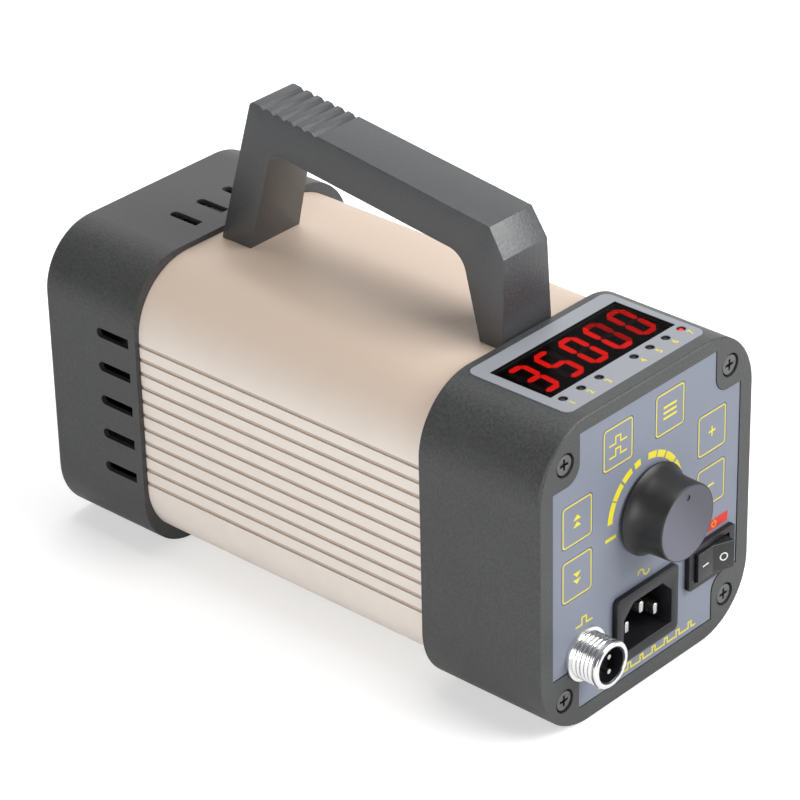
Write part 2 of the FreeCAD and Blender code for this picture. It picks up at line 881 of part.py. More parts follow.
def panel_holes(sketch):
    """The openings that the panel and its overlay share."""
    rectangle(sketch, around(s.inlet_x, s.inlet_body_width, s.cutout_gap),
              around(inlet_z, s.inlet_body_height, s.cutout_gap))
    rectangle(sketch, around(switch_x, s.switch_body_width, s.cutout_gap),
              around(switch_z, s.switch_body_height, s.cutout_gap))
    circle(sketch, trigger_x, trigger_z, s.trigger_radius + s.trigger_gap)
    for x, z in KEYS.values():
        rounded_rectangle(sketch, around(x, s.key_width, s.key_gap), around(z, s.key_height, s.key_gap),
                          s.key_corner + s.key_gap)


# Control cap: a moulded cup that slips over the tube and holds the panel, the display and the boards
cap = new_body("control_cap", z=axis)
sketch = draw(cap, "XZ", panel_face)
rounded_rectangle(sketch, (-half_cap[0], half_cap[0]), (-half_cap[1], half_cap[1]), s.control_corner)
pad(cap, sketch, s.control_depth)
soften(cap, "Fillet", s.edge_round, flat_at("Y", panel_face))
sketch = draw(cap, "XZ", panel_back)
rounded_rectangle(sketch, (-cavity[0], cavity[0]), (-cavity[1], cavity[1]), s.tube_corner + s.cap_gap)
pocket(cap, sketch, s.control_depth)

sketch = draw(cap, "XZ", panel_back)
for across, upward in CORNERS:
    circle(sketch, across * screw_x, upward * screw_z, s.post_radius)
pad(cap, sketch, tube_start - panel_back)
sketch = draw(cap, "XZ", panel_back)
for x, z in BOARD_POSTS:
    circle(sketch, x, z, s.board_post_radius)
pad(cap, sketch, s.key_board_stand)
sketch = draw(cap, "XY", cavity[1])
for x, y in DISPLAY_POSTS:
    circle(sketch, x, y, s.display_post_radius)
pad(cap, sketch, roof - display_board_top, towards=-1)

sketch = draw(cap, "XZ", panel_face)
for across, upward in CORNERS:
    circle(sketch, across * screw_x, upward * screw_z, s.screw_hole_radius)
pocket(cap, sketch, s.control_depth)
sketch = draw(cap, "XZ", panel_face)
for across, upward in CORNERS:
    circle(sketch, across * screw_x, upward * screw_z, s.sink_radius)
pocket(cap, sketch, s.sink_depth)
sketch = draw(cap, "XZ", key_board_front)
for x, z in BOARD_POSTS:
    circle(sketch, x, z, s.board_screw_radius + s.board_screw_gap)
pocket(cap, sketch, s.board_screw_bite, towards=-1)
sketch = draw(cap, "XY", display_board_top - axis)
for x, y in DISPLAY_POSTS:
    circle(sketch, x, y, s.board_screw_radius + s.board_screw_gap)
pocket(cap, sketch, s.board_screw_bite)

sketch = draw(cap, "XZ", panel_face)
panel_plan(sketch, 0)
pocket(cap, sketch, s.overlay_sink + s.overlay_thickness)
soften(cap, "Fillet", s.lobe_round, lobe_edges(0))
sketch = draw(cap, "XZ", panel_face)
panel_holes(sketch)
circle(sketch, s.knob_x, s.knob_z, s.bushing_radius + s.bushing_gap)
pocket(cap, sketch, s.panel_wall + OVERCUT)
sketch = draw(cap, "XZ", panel_face)
circle(sketch, trigger_x, trigger_z, s.trigger_flange_radius + s.trigger_gap)
pocket(cap, sketch, s.overlay_sink)

label_place = (around(s.label_x, s.label_width), around(panel_face + s.label_y, s.label_depth))
window_place = (around(s.window_x, s.window_width), around(panel_face + s.window_y, s.window_depth))
view_place = (around(s.window_x, s.window_width, -s.window_ledge),
              around(panel_face + s.window_y, s.window_depth, -s.window_ledge))


def grown(limits, gap):
    """Two pairs of limits moved out by a gap."""
    return [(low - gap, high + gap) for low, high in limits]


sketch = draw(cap, "XY", half_cap[1])
rounded_rectangle(sketch, *grown(label_place, s.window_gap), s.label_corner)
pocket(cap, sketch, s.label_thickness, towards=-1)
sketch = draw(cap, "XY", half_cap[1])
rectangle(sketch, *grown(window_place, s.window_gap))
pocket(cap, sketch, s.window_thickness, towards=-1)
sketch = draw(cap, "XY", half_cap[1])
rectangle(sketch, *view_place)
for x in INDICATORS:
    circle(sketch, x, indicator_y, s.indicator_radius + s.indicator_gap)
pocket(cap, sketch, half_cap[1] - cavity[1] + OVERCUT, towards=-1)


# Lamp cap: a moulded cup with cooling slots and the round lamp window
lamp_cap = new_body("lamp_cap", z=axis)
sketch = draw(lamp_cap, "XZ", seam_lamp)
lamp_side = cavity[0] + s.lamp_side_wall
rounded_rectangle(sketch, (-lamp_side, lamp_side), (-axis, cavity[1] + s.lamp_side_wall), s.lamp_corner)
pad(lamp_cap, sketch, s.lamp_depth)
soften(lamp_cap, "Fillet", s.lamp_edge_round, flat_at("Y", lamp_face))
sketch = draw(lamp_cap, "XZ", seam_lamp)
rounded_rectangle(sketch, (-cavity[0], cavity[0]), (-cavity[1], cavity[1]), s.tube_corner + s.cap_gap)
pocket(lamp_cap, sketch, s.lamp_depth - s.lamp_wall)

aperture = lamp_side - s.aperture_border
lens_radius = aperture + s.lens_lap
ear_place = (lens_radius + s.ear_reach) * math.sqrt(1 / 2)
lens_back = lamp_inner - s.lens_thickness
flange_back = lens_back - s.reflector_flange
retainer_back = flange_back - s.retainer_thickness
sketch = draw(lamp_cap, "XZ", lamp_inner)
for across, upward in CORNERS:
    circle(sketch, across * screw_x, upward * screw_z, s.post_radius)
pad(lamp_cap, sketch, lamp_inner - tube_end, towards=-1)
sketch = draw(lamp_cap, "XZ", lamp_inner)
for across, upward in CORNERS:
    circle(sketch, across * ear_place, upward * ear_place, s.ear_boss_radius)
pad(lamp_cap, sketch, lamp_inner - flange_back, towards=-1)

sketch = draw(lamp_cap, "XZ", lamp_face)
circle(sketch, 0, 0, aperture)
pocket(lamp_cap, sketch, s.lamp_wall, towards=-1)
rim_radius = float(aperture)
soften(lamp_cap, "Chamfer", s.aperture_bevel,
       lambda edge: flat_at("Y", lamp_face)(edge) and abs(edge.BoundBox.XMax - rim_radius) < NEAR)
sketch = draw(lamp_cap, "XZ", lamp_face)
for across, upward in CORNERS:
    circle(sketch, across * screw_x, upward * screw_z, s.screw_hole_radius)
pocket(lamp_cap, sketch, s.lamp_depth, towards=-1)
sketch = draw(lamp_cap, "XZ", lamp_face)
for across, upward in CORNERS:
    circle(sketch, across * screw_x, upward * screw_z, s.sink_radius)
pocket(lamp_cap, sketch, s.sink_depth, towards=-1)
sketch = draw(lamp_cap, "XZ", flange_back)
for across, upward in CORNERS:
    circle(sketch, across * ear_place, upward * ear_place, s.board_screw_radius + s.board_screw_gap)
pocket(lamp_cap, sketch, s.board_screw_bite)

side_vent_span = (s.side_vent_count - 1) * s.side_vent_pitch
side_vent_low = s.side_vent_centre - side_vent_span / 2
side_vent_y = seam_lamp + s.side_vent_start
sketch = draw(lamp_cap, "YZ")
slot(sketch, side_vent_y, side_vent_y + s.side_vent_length, side_vent_low, s.vent_width)
vent = pocket(lamp_cap, sketch)
repeat(lamp_cap, vent, sketch, "V", side_vent_span, s.side_vent_count)
top_vent_span = (s.top_vent_count - 1) * s.top_vent_pitch
top_vent_y = seam_lamp + s.top_vent_start
sketch = draw(lamp_cap, "XY")
slot(sketch, top_vent_y, top_vent_y + s.top_vent_length, -top_vent_span / 2, s.vent_width, along="V")
vent = pocket(lamp_cap, sketch)
repeat(lamp_cap, vent, sketch, "H", top_vent_span, s.top_vent_count)


# Carrying handle: a moulded bow that stands on the tube, wider at its feet, with grip grooves
handle = new_body("handle", z=tube_top)
rear_out = seam_control + s.rear_foot_gap
rear_in = rear_out + s.rear_foot_length
front_out = seam_lamp - s.front_foot_gap
front_in = front_out - s.front_foot_length
crest_rear = (rear_out + s.rear_top_lean, s.rear_top_rise)
crest_front = (front_out - s.front_top_lean, s.front_top_rise)
sketch = draw(handle, "YZ")
outline(sketch, [
    (rear_out, 0),
    (rear_in, 0),
    (rear_in + s.rear_inner_lean, s.rear_inner_rise),
    (front_in - s.front_inner_lean, s.front_inner_rise),
    (front_in, 0),
    (front_out, 0),
    crest_front,
    crest_rear,
    (rear_out + s.rear_elbow_lean, s.rear_elbow_rise),
])
bow = pad(handle, sketch, s.handle_foot_width)
bow.Midplane = True

flare = (s.handle_foot_width - s.handle_top_width) / 2
sketch = draw(handle, "XZ")
for side in (-1, 1):
    foot = side * s.handle_foot_width / 2
    outline(sketch, [
        (foot, 0),
        (foot + side * OVERCUT, 0),
        (foot + side * OVERCUT, s.front_top_rise + OVERCUT),
        (foot - side * flare, s.front_top_rise + OVERCUT),
    ])
pocket(handle, sketch)

crest_slope = (crest_front[1] - crest_rear[1]) / (crest_front[0] - crest_rear[0])


def crest(y):
    """Height of the handle's sloping top at a place along it."""
    return crest_rear[1] + (y - crest_rear[0]) * crest_slope


sketch = draw(handle, "YZ")
for number in range(int(float(s.grip_count))):
    y = crest_front[0] - s.grip_start - number * s.grip_pitch
    outline(sketch, [
        (y - s.grip_width / 2, crest(y - s.grip_width / 2) + SKIM),
        (y, crest(y) - s.grip_depth),
        (y + s.grip_width / 2, crest(y + s.grip_width / 2) + SKIM),
    ])
pocket(handle, sketch)
sketch = draw(handle, "XY")
for x, y in handle_screw_spots:
    circle(sketch, x, y, s.handle_screw_radius + s.handle_pilot_gap)
pocket(handle, sketch, s.handle_screw_bite + OVERCUT)
soften(handle, "Fillet", s.rear_inner_round,
       line_at(("Y", rear_in + s.rear_inner_lean), ("Z", s.rear_inner_rise)))
soften(handle, "Fillet", s.front_inner_round,
       line_at(("Y", front_in - s.front_inner_lean), ("Z", s.front_inner_rise)))
soften(handle, "Fillet", s.front_top_round, line_at(("Y", crest_front[0]), ("Z", crest_front[1])))


def cross_screw(name, spot, seat, tip, outward, sizes):
    """A pan screw along Y with a cross recess: its head sits on the seat and its shank ends at the tip."""
    head_radius, head_height, shank_radius = sizes
    face = seat + outward * head_height
    low, high = (seat, tip) if outward < 0 else (tip, seat)
    shank = rod(name + "_shank", "Y", spot, low, high, shank_radius)
    low, high = (face, seat) if outward < 0 else (seat, face)
    head = rod(name + "_head", "Y", spot, low, high, head_radius)
    depth = outward * s.recess_depth
    low, high = (face, face - depth) if outward < 0 else (face - depth, face)
    long_way = around(spot[0], s.recess_length), around(spot[1], s.recess_width)
    short_way = around(spot[0], s.recess_width), around(spot[1], s.recess_length)
    slots = [block(name + "_slot", across, (low, high), upward) for across, upward in (long_way, short_way)]
    return cut(name, fuse(name + "_blank", shank, head), *slots)


housing_screw = (s.screw_head_radius, s.screw_head_height, s.screw_shank_radius)
board_screw = (s.board_screw_head, s.board_screw_head_height, s.board_screw_radius)
corner_spots = [(across * screw_x, axis + upward * screw_z) for across, upward in CORNERS]
node(group("panel_screws", [
    cross_screw("panel_screw", spot, panel_face + s.sink_depth, tube_start + s.screw_bite, -1, housing_screw)
    for spot in corner_spots
]), "panel_screws")
node(group("lamp_screws", [
    cross_screw("lamp_screw", spot, lamp_face - s.sink_depth, tube_end - s.screw_bite, 1, housing_screw)
    for spot in corner_spots
]), "lamp_screws")

handle_screws = []
for x, y in handle_screw_spots:
    seat = tube_top - s.tube_wall
    tip = tube_top + s.handle_screw_bite
    head = rod("handle_screw_head", "Z", (x, y), seat - s.handle_screw_head_height, seat, s.handle_screw_head)
    shank = rod("handle_screw_shank", "Z", (x, y), seat, tip, s.handle_screw_radius)
    handle_screws.append(fuse("handle_screw", head, shank))
node(group("handle_screws", handle_screws), "handle_screws")


# Panel overlay: a printed plastic sheet glued into the recess of the panel
overlay = new_body("panel_overlay", z=axis)
sketch = draw(overlay, "XZ", overlay_face)
panel_plan(sketch, s.overlay_gap)
pad(overlay, sketch, s.overlay_thickness)
soften(overlay, "Fillet", s.lobe_round, lobe_edges(s.overlay_gap))
sketch = draw(overlay, "XZ", overlay_face)
panel_holes(sketch)
circle(sketch, s.knob_x, s.knob_z, s.pot_nut_corner + s.cutout_gap)
pocket(overlay, sketch, s.overlay_thickness + OVERCUT)


# Display: label, filter window, digit modules, indicators and their board
label = new_body("display_label")
sketch = draw(label, "XY", cap_top - s.label_thickness)
rounded_rectangle(sketch, *label_place, s.label_corner)
pad(label, sketch, s.label_thickness)
sketch = draw(label, "XY", cap_top)
rectangle(sketch, *grown(window_place, s.window_gap))
for x in INDICATORS:
    circle(sketch, x, indicator_y, s.indicator_radius + s.indicator_gap)
pocket(label, sketch, s.label_thickness + OVERCUT, towards=-1)
node(block("window_plate", *window_place, (cap_top - s.window_thickness, cap_top)),
     "display_window")

digits = []
for number in range(int(float(s.digit_count))):
    x = s.window_x + (number - (s.digit_count - 1) / 2) * s.digit_pitch
    digits.append(block("digit", around(x, s.digit_width), around(panel_face + s.window_y, s.digit_depth),
                        (display_board_top, digit_top)))
node(group("digit_group", digits), "digit_modules")

indicators = []
indicator_tip = cap_top - s.indicator_sink
for x in INDICATORS:
    spot = (x, indicator_y)
    shoulder = indicator_tip - s.indicator_radius
    stem = rod("indicator_stem", "Z", spot, display_board_top, shoulder, s.indicator_radius)
    dome = rod("indicator_dome", "Z", spot, shoulder, indicator_tip, s.indicator_radius,
               s.indicator_radius / 2)
    indicators.append(fuse("indicator", stem, dome))
node(group("indicator_group", indicators), "indicator_lamps")

display_board_front = panel_face + s.display_board_front
board = block("display_board_blank", (s.display_board_left, s.display_board_right),
              (display_board_front, panel_face + s.display_board_rear),
              (display_board_bottom, display_board_top))
holes = [rod("display_board_hole", "Z", spot, display_board_bottom - OVERCUT, display_board_top + OVERCUT,
             s.board_screw_radius + s.board_screw_gap) for spot in DISPLAY_POSTS]
node(cut("display_board_drilled", board, *holes), "display_board")

display_screws = []
for spot in DISPLAY_POSTS:
    head = rod("display_screw_head", "Z", spot, display_board_bottom - s.board_screw_head_height,
               display_board_bottom, s.board_screw_head)
    shank = rod("display_screw_shank", "Z", spot, display_board_bottom,
                display_board_top + s.board_screw_bite - s.board_screw_gap, s.board_screw_radius)
    display_screws.append(fuse("display_screw", head, shank))
node(group("display_screw_group", display_screws), "display_screws")


# Keys: each is a flat pad in the panel with a lip behind it and a stem over its own switch
key_board_back = key_board_front + s.board_thickness
tact_face = key_board_front - s.tact_height
for name, (x, z) in KEYS.items():
    key = new_body(name, x=x, z=axis + z)
    pad_width = (-s.key_width / 2, s.key_width / 2)
    pad_height = (-s.key_height / 2, s.key_height / 2)
    sketch = draw(key, "XZ", overlay_face)
    rounded_rectangle(sketch, pad_width, pad_height, s.key_corner)
    pad(key, sketch, panel_back - overlay_face)
    sketch = draw(key, "XZ", panel_back)
    rounded_rectangle(sketch, *grown((pad_width, pad_height), s.key_lip), s.key_corner + s.key_lip)
    pad(key, sketch, s.key_flange)
    sketch = draw(key, "XZ", panel_back + s.key_flange)
    circle(sketch, 0, 0, s.key_stem_radius)
    pad(key, sketch, tact_face - s.key_travel - s.key_free - panel_back - s.key_flange)
node(group("tact_group", [
    block("tact", around(x, s.tact_side), (tact_face, key_board_front), around(axis + z, s.tact_side))
    for x, z in KEYS.values()
]), "tact_switches")

key_board_side = half_tube[0] - s.key_board_inset
board = block("key_board_blank", (-key_board_side, key_board_side), (key_board_front, key_board_back),
              (axis + s.key_board_bottom, axis + key_board_top))
holes = [rod("key_board_hole", "Y", (x, axis + z), key_board_front - OVERCUT, key_board_back + OVERCUT,
             s.board_screw_radius + s.board_screw_gap) for x, z in BOARD_POSTS]
pot_spot = (s.knob_x, axis + s.knob_z)
holes.append(rod("key_board_pot_hole", "Y", pot_spot, key_board_front - OVERCUT, key_board_back + OVERCUT,
                 s.pot_radius + s.cutout_gap))
holes += [rod("key_board_notch", "Y", (across * screw_x, axis + screw_z), key_board_front - OVERCUT,
              key_board_back + OVERCUT, s.post_radius + s.cutout_gap) for across in (-1, 1)]
node(cut("key_board_drilled", board, *holes), "key_board")
node(group("board_screw_group", [
    cross_screw("board_screw", (x, axis + z), key_board_back, key_board_front + s.board_screw_gap
                - s.board_screw_bite, 1, board_screw) for x, z in BOARD_POSTS
]), "key_board_screws")
node(block("header_strip", around(0, s.header_length), (key_board_back, key_board_back + s.header_depth),
           (display_board_bottom - s.header_height, display_board_bottom)), "board_connector")


# Knob, its metal-look inlay, and the potentiometer that it turns
knob_foot = overlay_face - s.knob_lift
knob_front = knob_foot - s.knob_length
knob_spot = (s.knob_x, knob_foot, axis + s.knob_z)
hub_foot = panel_back - s.bushing_length - s.knob_lift - knob_foot
turned("knob", *knob_spot, "Y", [
    (s.shaft_radius, hub_foot),
    (s.knob_hub_radius, hub_foot),
    (s.knob_hub_radius, -s.knob_length + s.knob_wall),
    (s.knob_face_radius - s.knob_wall, -s.knob_length + s.knob_wall),
    (s.knob_base_radius - s.knob_wall, 0),
    (s.knob_skirt_radius, 0),
    (s.knob_skirt_radius, -s.knob_skirt_height / 2),
    (s.knob_base_radius, -s.knob_skirt_height),
    (s.knob_face_radius, s.knob_edge - s.knob_length),
    (s.knob_face_radius - s.knob_edge, -s.knob_length),
    (s.knob_inlay_radius, -s.knob_length),
    (s.knob_inlay_radius, s.knob_inlay_depth - s.knob_length),
    (s.shaft_radius, s.knob_inlay_depth - s.knob_length),
])
disc = rod("inlay_disc", "Y", pot_spot, knob_front, knob_front + s.knob_inlay_depth,
           s.knob_inlay_radius - s.knob_inlay_gap)
dimple = rod("inlay_dimple", "Y", (s.knob_x, axis + s.knob_z + s.knob_dimple_place), knob_front - OVERCUT,
             knob_front + s.knob_inlay_depth / 2, s.knob_dimple_radius)
node(cut("inlay", disc, dimple), "knob_inlay")

shaft_front = knob_front + s.knob_inlay_depth
shaft_end = panel_back + s.pot_length - s.shaft_seat
node(rod("shaft", "Y", pot_spot, shaft_front, shaft_end, s.shaft_radius), "pot_shaft")
turned("pot_body", s.knob_x, panel_back, axis + s.knob_z, "Y", [
    (s.shaft_radius + s.shaft_gap, -s.bushing_length),
    (s.bushing_radius, -s.bushing_length),
    (s.bushing_radius, 0),
    (s.pot_radius, 0),
    (s.pot_radius, s.pot_length),
    (0, s.pot_length),
    (0, s.pot_length - s.shaft_seat + s.shaft_gap),
    (s.shaft_radius + s.shaft_gap, s.pot_length - s.shaft_seat + s.shaft_gap),
])
nut_face = overlay_back - s.pot_nut_height
node(cut("pot_nut_bored",
         hexagon("pot_nut_blank", "Y", pot_spot, nut_face, overlay_back, s.pot_nut_corner),
         rod("pot_nut_bore", "Y", pot_spot, nut_face - OVERCUT, overlay_back + OVERCUT,
             s.bushing_radius + s.shaft_gap)),
     "pot_nut")


# Mains inlet: a snap-in housing with a chamfered cavity and three flat pins
inlet = new_body("inlet_housing", x=s.inlet_x, z=axis + inlet_z)
inlet_face = overlay_face - s.inlet_flange_thickness
sketch = draw(inlet, "XZ", inlet_face)
rounded_rectangle(sketch, around(0, s.inlet_flange_width), around(0, s.inlet_flange_height),
                  s.inlet_flange_corner)
pad(inlet, sketch, s.inlet_flange_thickness)
sketch = draw(inlet, "XZ", overlay_face)
rectangle(sketch, around(0, s.inlet_body_width), around(0, s.inlet_body_height))
pad(inlet, sketch, s.inlet_body_length)
side = s.inlet_cavity_width / 2
level = s.inlet_cavity_height / 2
sketch = draw(inlet, "XZ", inlet_face)
outline(sketch, [
    (-side, -level),
    (side, -level),
    (side, level - s.inlet_cavity_chamfer),
    (side - s.inlet_cavity_chamfer, level),
    (s.inlet_cavity_chamfer - side, level),
    (-side, level - s.inlet_cavity_chamfer),
])
pocket(inlet, sketch, s.inlet_cavity_depth)
PINS = ((-s.inlet_pin_spread, -s.inlet_pin_offset), (0, s.inlet_pin_offset),
        (s.inlet_pin_spread, -s.inlet_pin_offset))
sketch = draw(inlet, "XZ", inlet_face)
for x, z in PINS:
    rectangle(sketch, around(x, s.inlet_pin_width), around(z, s.inlet_pin_height))
pocket(inlet, sketch, s.inlet_body_length + s.inlet_flange_thickness)
node(group("inlet_pin_group", [
    block("inlet_pin", around(s.inlet_x + x, s.inlet_pin_width),
          (inlet_face + s.inlet_pin_recess, overlay_face + s.inlet_body_length + s.inlet_tab_length),
          around(axis + inlet_z + z, s.inlet_pin_height)) for x, z in PINS
]), "inlet_pins")


# Rocker switch: a bezel with its body, four terminals, and a rocker on two trunnions
bezel = new_body("switch_housing", x=switch_x, z=axis + switch_z)
bezel_face = overlay_face - s.bezel_thickness
sketch = draw(bezel, "XZ", bezel_face)
rounded_rectangle(sketch, around(0, s.bezel_width), around(0, s.bezel_height), s.bezel_corner)
pad(bezel, sketch, s.bezel_thickness)
sketch = draw(bezel, "XZ", overlay_face)
rectangle(sketch, around(0, s.switch_body_width), around(0, s.switch_body_height))
pad(bezel, sketch, s.switch_body_length)
sketch = draw(bezel, "XZ", bezel_face)
rectangle(sketch, around(0, s.switch_pocket_width), around(0, s.switch_pocket_height))
pocket(bezel, sketch, s.switch_pocket_depth)
pivot_y = bezel_face + s.rocker_pivot_depth
trunnion_reach = s.rocker_height / 2 + s.trunnion_length
sketch = draw(bezel, "XY", -trunnion_reach - s.trunnion_gap)
circle(sketch, 0, pivot_y, s.trunnion_radius + s.trunnion_gap)
pocket(bezel, sketch, (trunnion_reach + s.trunnion_gap) * 2)

rocker = new_body("rocker", x=switch_x, y=pivot_y, z=axis + switch_z)
bind(rocker, "Placement.Rotation.Angle", -s.rocker_tilt)
sketch = draw(rocker, "XY", -s.rocker_height / 2)
front = -s.rocker_pivot_depth
outline(sketch, [
    (-s.rocker_half_length, s.rocker_root),
    (-s.rocker_half_length, front - s.rocker_end_rise),
    (0, front - s.rocker_middle_rise),
    (s.rocker_half_length, front - s.rocker_end_rise),
    (s.rocker_half_length, s.rocker_root),
])
pad(rocker, sketch, s.rocker_height)
sketch = draw(rocker, "XY", -trunnion_reach)
circle(sketch, 0, 0, s.trunnion_radius)
pad(rocker, sketch, trunnion_reach * 2)
switch_end = overlay_face + s.switch_body_length
node(group("terminal_group", [
    block("terminal", around(switch_x + across * s.terminal_spread, s.terminal_width),
          (switch_end, switch_end + s.terminal_length), around(axis + switch_z, s.terminal_height))
    for across in (-1, 0, 1)
]), "switch_terminals")


# Trigger connector: a threaded metal shell, an insulating insert with pins, and a nut behind the panel
trigger_spot = (trigger_x, axis + trigger_z)
thread_tip = -s.trigger_reach
profile = [
    (s.trigger_bore_radius, s.trigger_tail),
    (s.trigger_bore_radius, thread_tip),
    (s.trigger_radius - s.trigger_chamfer, thread_tip),
    (s.trigger_radius, thread_tip + s.trigger_chamfer),
]
thread_start = thread_tip + s.trigger_lead
for number in range(int(float(s.trigger_thread_count))):
    y = thread_start + number * s.trigger_thread_pitch
    profile.append((s.trigger_radius, y))
    profile.append((s.trigger_radius - s.trigger_thread_depth, y + s.trigger_thread_pitch / 2))
profile += [
    (s.trigger_radius, thread_start + s.trigger_thread_count * s.trigger_thread_pitch),
    (s.trigger_radius, -s.trigger_flange_thickness),
    (s.trigger_flange_radius, -s.trigger_flange_thickness),
    (s.trigger_flange_radius, 0),
    (s.trigger_radius, 0),
    (s.trigger_radius, s.trigger_tail),
]
turned("trigger_shell", trigger_x, overlay_face, axis + trigger_z, "Y", profile[::-1])
insert_face = overlay_face - s.trigger_reach + s.trigger_insert_depth
insert_back = insert_face + s.trigger_insert_length
TRIGGER_PINS = [(trigger_x, axis + trigger_z + side * s.trigger_pin_spread) for side in (-1, 1)]
bores = [rod("insert_bore", "Y", spot, insert_face - OVERCUT, insert_back + OVERCUT,
             s.trigger_pin_radius)
         for spot in TRIGGER_PINS]
node(cut("insert_bored", rod("insert_blank", "Y", trigger_spot, insert_face, insert_back,
                             s.trigger_bore_radius), *bores), "trigger_insert")
node(group("trigger_pin_group", [
    rod("trigger_pin", "Y", spot, insert_face - s.trigger_pin_reach, insert_back + s.trigger_tail_length,
        s.trigger_pin_radius) for spot in TRIGGER_PINS
]), "trigger_pins")
node(cut("trigger_nut_bored",
         hexagon("trigger_nut_blank", "Y", trigger_spot, panel_back, panel_back + s.trigger_nut_height,
                 s.trigger_nut_corner),
         rod("trigger_nut_bore", "Y", trigger_spot, panel_back - OVERCUT,
             panel_back + s.trigger_nut_height + OVERCUT, s.trigger_radius)), "trigger_nut")


# Lamp end: clear window, reflector bowl, retainer, lamp base and the bent flash tube
lamp_spot = (0, axis)
node(rod("lens", "Y", lamp_spot, lens_back, lamp_inner, lens_radius), "lens_window")
neck_start = tube_end - s.neck_start
neck_end = tube_end - s.neck_end
bowl_rim = aperture + s.bowl_lap
turned("reflector", 0, 0, axis, "Y", [
    (s.neck_radius - s.bowl_sheet, neck_start),
    (s.neck_radius, neck_start),
    (s.neck_radius, neck_end, s.bowl_curve),
    (bowl_rim, flange_back),
    (lens_radius, flange_back),
    (lens_radius, lens_back),
    (bowl_rim - s.bowl_sheet, lens_back, s.bowl_sheet - s.bowl_curve),
    (s.neck_radius - s.bowl_sheet, neck_end + s.bowl_sheet / 2),
])
ring = rod("retainer_disc", "Y", lamp_spot, retainer_back, flange_back,
           lens_radius + s.retainer_border)
EARS = [(across * ear_place, axis + upward * ear_place) for across, upward in CORNERS]
ears = [rod("retainer_ear", "Y", spot, retainer_back, flange_back, s.ear_radius) for spot in EARS]
holes = [rod("retainer_hole", "Y", spot, retainer_back - OVERCUT, flange_back + OVERCUT,
             s.board_screw_radius + s.board_screw_gap) for spot in EARS]
holes.append(rod("retainer_bore", "Y", lamp_spot, retainer_back - OVERCUT, flange_back + OVERCUT,
                 aperture + s.retainer_lap))
node(cut("retainer", fuse("retainer_blank", ring, *ears), *holes), "retainer_ring")
node(group("retainer_screw_group", [
    cross_screw("retainer_screw", spot, retainer_back, flange_back + s.board_screw_bite - s.board_screw_gap,
                -1, board_screw) for spot in EARS
]), "retainer_screws")

base_face = neck_start + s.lamp_base_height
base_flange = rod("base_flange", "Y", lamp_spot, neck_start - s.lamp_base_flange_height, neck_start,
                  s.lamp_base_flange)
base_plug = rod("base_plug", "Y", lamp_spot, neck_start, base_face,
                s.neck_radius - s.bowl_sheet - s.lamp_base_gap)
legs = [(side * s.flash_tube_spread, axis) for side in (-1, 1)]
seats = [rod("tube_seat", "Y", spot, base_face - s.flash_tube_seat, base_face + OVERCUT,
             s.flash_tube_radius + s.flash_tube_gap) for spot in legs]
lead_end = base_face - s.flash_tube_seat
bores = [rod("lead_bore", "Y", spot, neck_start - s.lamp_base_flange_height - OVERCUT, lead_end + OVERCUT,
             s.lead_radius) for spot in legs]
node(cut("base_bored", fuse("base_blank", base_flange, base_plug), *seats, *bores), "lamp_base")

leg_end = base_face + s.flash_tube_leg
glass = [rod("tube_leg", "Y", spot, lead_end, leg_end, s.flash_tube_radius) for spot in legs]
bend = doc.addObject("Part::Torus", "tube_bend")
bind(bend, "Radius1", s.flash_tube_spread)
bind(bend, "Radius2", s.flash_tube_radius)
bend.Angle3 = 180
place(bend, 0, leg_end, axis)
node(fuse("flash_tube", *glass, bend), "xenon_tube")
node(group("lead_group", [
    rod("lead", "Y", spot, neck_start - s.lamp_base_flange_height - s.lead_length, lead_end, s.lead_radius)
    for spot in legs
]), "lamp_leads")

wire_height = axis + s.flash_tube_radius + s.wire_radius + s.wire_stand
wire_legs = [rod("wire_leg", "Y", (spot[0], wire_height), base_face, leg_end, s.wire_radius) for spot in legs]
wire_bend = doc.addObject("Part::Torus", "wire_bend")
bind(wire_bend, "Radius1", s.flash_tube_spread)
bind(wire_bend, "Radius2", s.wire_radius)
wire_bend.Angle3 = 180
place(wire_bend, 0, leg_end, wire_height)
node(fuse("ignition_wire", *wire_legs, wire_bend), "trigger_wire")


# Main board in the tube's guides, with the power parts on it
main_bottom = axis + board_bottom
main_top = axis + board_top
main_board_side = half_tube[0] - s.main_board_inset
node(block("main_board_plate", (-main_board_side, main_board_side),
           (s.main_board_front, s.main_board_rear), (main_bottom, main_top)), "main_board")
core_block = block("core", around(s.transformer_x, s.core_width), around(s.transformer_y, s.core_depth),
                   (main_top, main_top + s.core_height))
winding_low = main_top + (s.core_height - s.winding_height) / 2
winding = block("winding", around(s.transformer_x, s.winding_width), around(s.transformer_y, s.winding_depth),
                (winding_low, winding_low + s.winding_height))
node(fuse("transformer", core_block, winding), "mains_transformer")
node(group("capacitor_group", [
    rod("capacitor", "Y", (s.capacitor_x + number * s.capacitor_pitch, main_top + s.capacitor_radius),
        s.capacitor_y, s.capacitor_y + s.capacitor_length, s.capacitor_radius) for number in range(2)
]), "storage_capacitors")
node(block("pulse_transformer", around(s.pulse_x, s.pulse_width), around(s.pulse_y, s.pulse_width),
           (main_top, main_top + s.pulse_height)), "trigger_transformer")
fuse_axis = (s.fuse_x, main_top + s.fuse_lift)
node(rod("fuse_cartridge", "Y", fuse_axis, s.fuse_y, s.fuse_y + s.fuse_length, s.fuse_radius), "fuse")
clips = []
